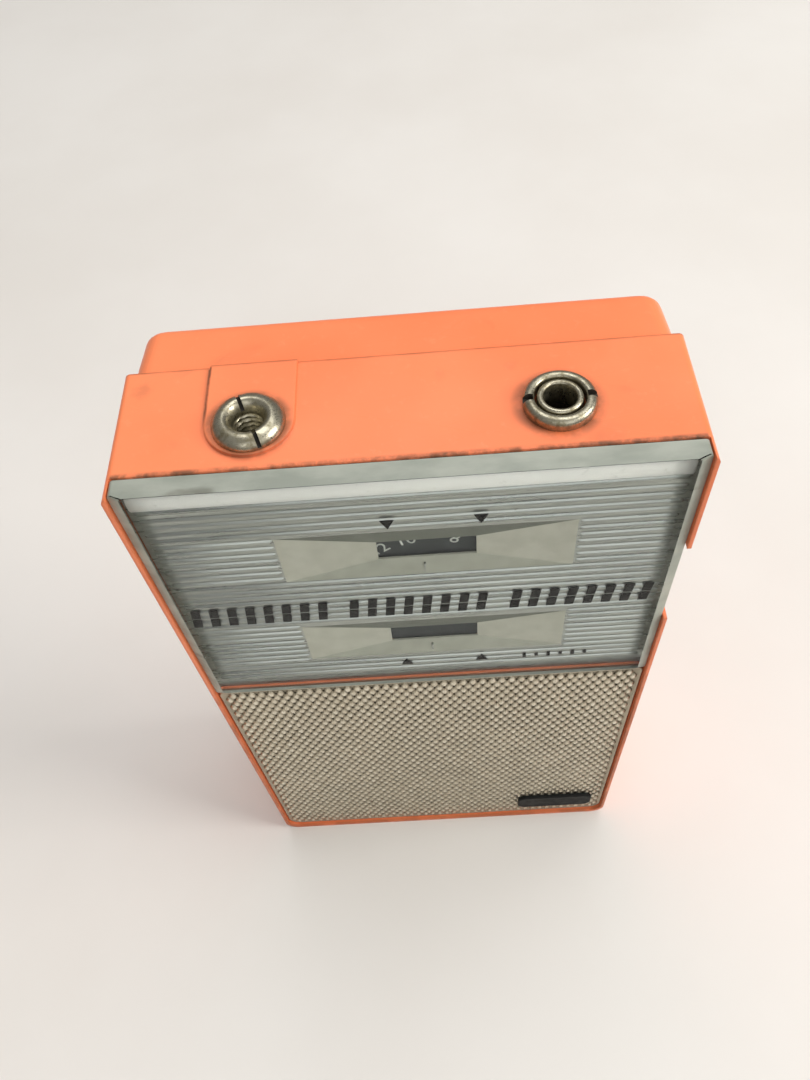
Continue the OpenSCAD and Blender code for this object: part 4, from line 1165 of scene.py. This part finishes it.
# How far each inner part's edges are rounded, in millimetres. The battery's is too much for its mesh: it makes
# spikes that reach 1.9 mm past its CAD node and into the rear cover.
EDGES = {
    "tuning_wheel": 0.09, "volume_wheel": 0.09, "band_slider": 0.15, "band_switch_body": 0.12,
    "battery": 0.8, "battery_plate": 0.1, "battery_snap": 0.3, "circuit_board": 0.08,
    "if_cans": 0.2, "oscillator_coils": 0.15, "audio_transformers": 0.12, "ferrite_holders": 0.2,
    "volume_pot": 0.2, "varicon_body": 0.25, "speaker_terminals": 0.1, "speaker_yoke": 0.3,
    "speaker_frame": 0.08, "ferrite_rod": 0.25, "electrolytics": 0.2, "board_screws": 0.1,
    "speaker_screws": 0.1, "volume_screw": 0.12, "dial_screw": 0.1, "transistors": 0.12,
    "ferrite_coils": 0.15,
}
for node, width in EDGES.items():
    softened(node, width * MM)

for node in frame["nodes"].values():
    if not node.hide_render:
        slot = node.data.materials[0].name
        node.data.materials.clear()
        node.data.materials.append(LOOKS[slot].material)


# ---------------------------------------------------------------- floor, lights and camera

floor_look = Look("floor_look", Specular_IOR_Level=0.2)
floor_tone = floor_look.noise(0.12, 5)
floor_tint = floor_look.mix(
    floor_look.remap(floor_tone, 0.3, 0.7), srgb(226, 221, 214), srgb(232, 228, 222)
)
floor_look.set("Base Color", floor_tint)
floor_look.set("Roughness", floor_look.remap(floor_tone, 0.3, 0.7, 0.6, 0.7))

floor_mesh = bpy.data.meshes.new("floor_mesh")
reach = 1.6
floor_corners = [(-reach, -reach, 0), (reach, -reach, 0), (reach, reach, 0), (-reach, reach, 0)]
floor_mesh.from_pydata(floor_corners, [], [(0, 1, 2, 3)])
floor_mesh.materials.append(floor_look.material)
floor = bpy.data.objects.new("floor", floor_mesh)
bpy.context.scene.collection.objects.link(floor)


def area_light(name, at, aim, size, power, colour=(1, 1, 1)):
    data = bpy.data.lights.new(name, "AREA")
    data.shape, data.size, data.size_y = "RECTANGLE", size[0], size[1]
    data.energy, data.color = power, colour
    light = bpy.data.objects.new(name, data)
    light.location = at
    light.rotation_mode = "QUATERNION"
    light.rotation_quaternion = (Vector(aim) - Vector(at)).to_track_quat("-Z", "Y")
    bpy.context.scene.collection.objects.link(light)


area_light("key", (0.8, -0.12, 0.62), (0, 0, 0.06), (0.45, 0.45), 6.0, (1.0, 0.98, 0.95))
area_light("overhead", (0.1, 0.25, 0.95), (0, 0, 0.08), (0.8, 0.6), 4.0)
area_light("front_fill", (0.15, -1.0, 0.75), (0, 0, 0.06), (1.4, 0.8), 4.0, (0.97, 0.98, 1.0))

world = bpy.data.worlds.new("studio")
world.use_nodes = True
sky = world.node_tree
height = sky.nodes.new("ShaderNodeSeparateXYZ")
sky.links.new(sky.nodes.new("ShaderNodeTexCoord").outputs["Generated"], height.inputs[0])
tone = sky.nodes.new("ShaderNodeMix")
tone.data_type = "RGBA"
tone.inputs[6].default_value, tone.inputs[7].default_value = (0.5, 0.49, 0.48, 1), (1, 1, 1, 1)
sky.links.new(height.outputs["Z"], tone.inputs[0])
sky.links.new(tone.outputs[2], sky.nodes["Background"].inputs["Color"])
sky.nodes["Background"].inputs["Strength"].default_value = 0.42
bpy.context.scene.world = world
bpy.context.scene.view_settings.view_transform = "Standard"

camera_data = bpy.data.cameras.new("photo_camera")
camera_data.lens, camera_data.sensor_width = 30.185, 36
camera_data.clip_start, camera_data.clip_end = 0.005, 10
camera = bpy.data.objects.new("photo_camera", camera_data)
camera.location = (0.003136, -0.071095, 0.184787)
camera.rotation_euler = Euler([math.radians(a) for a in (34.413, 4.035, -1.868)])
bpy.context.scene.collection.objects.link(camera)
bpy.context.scene.camera = camera
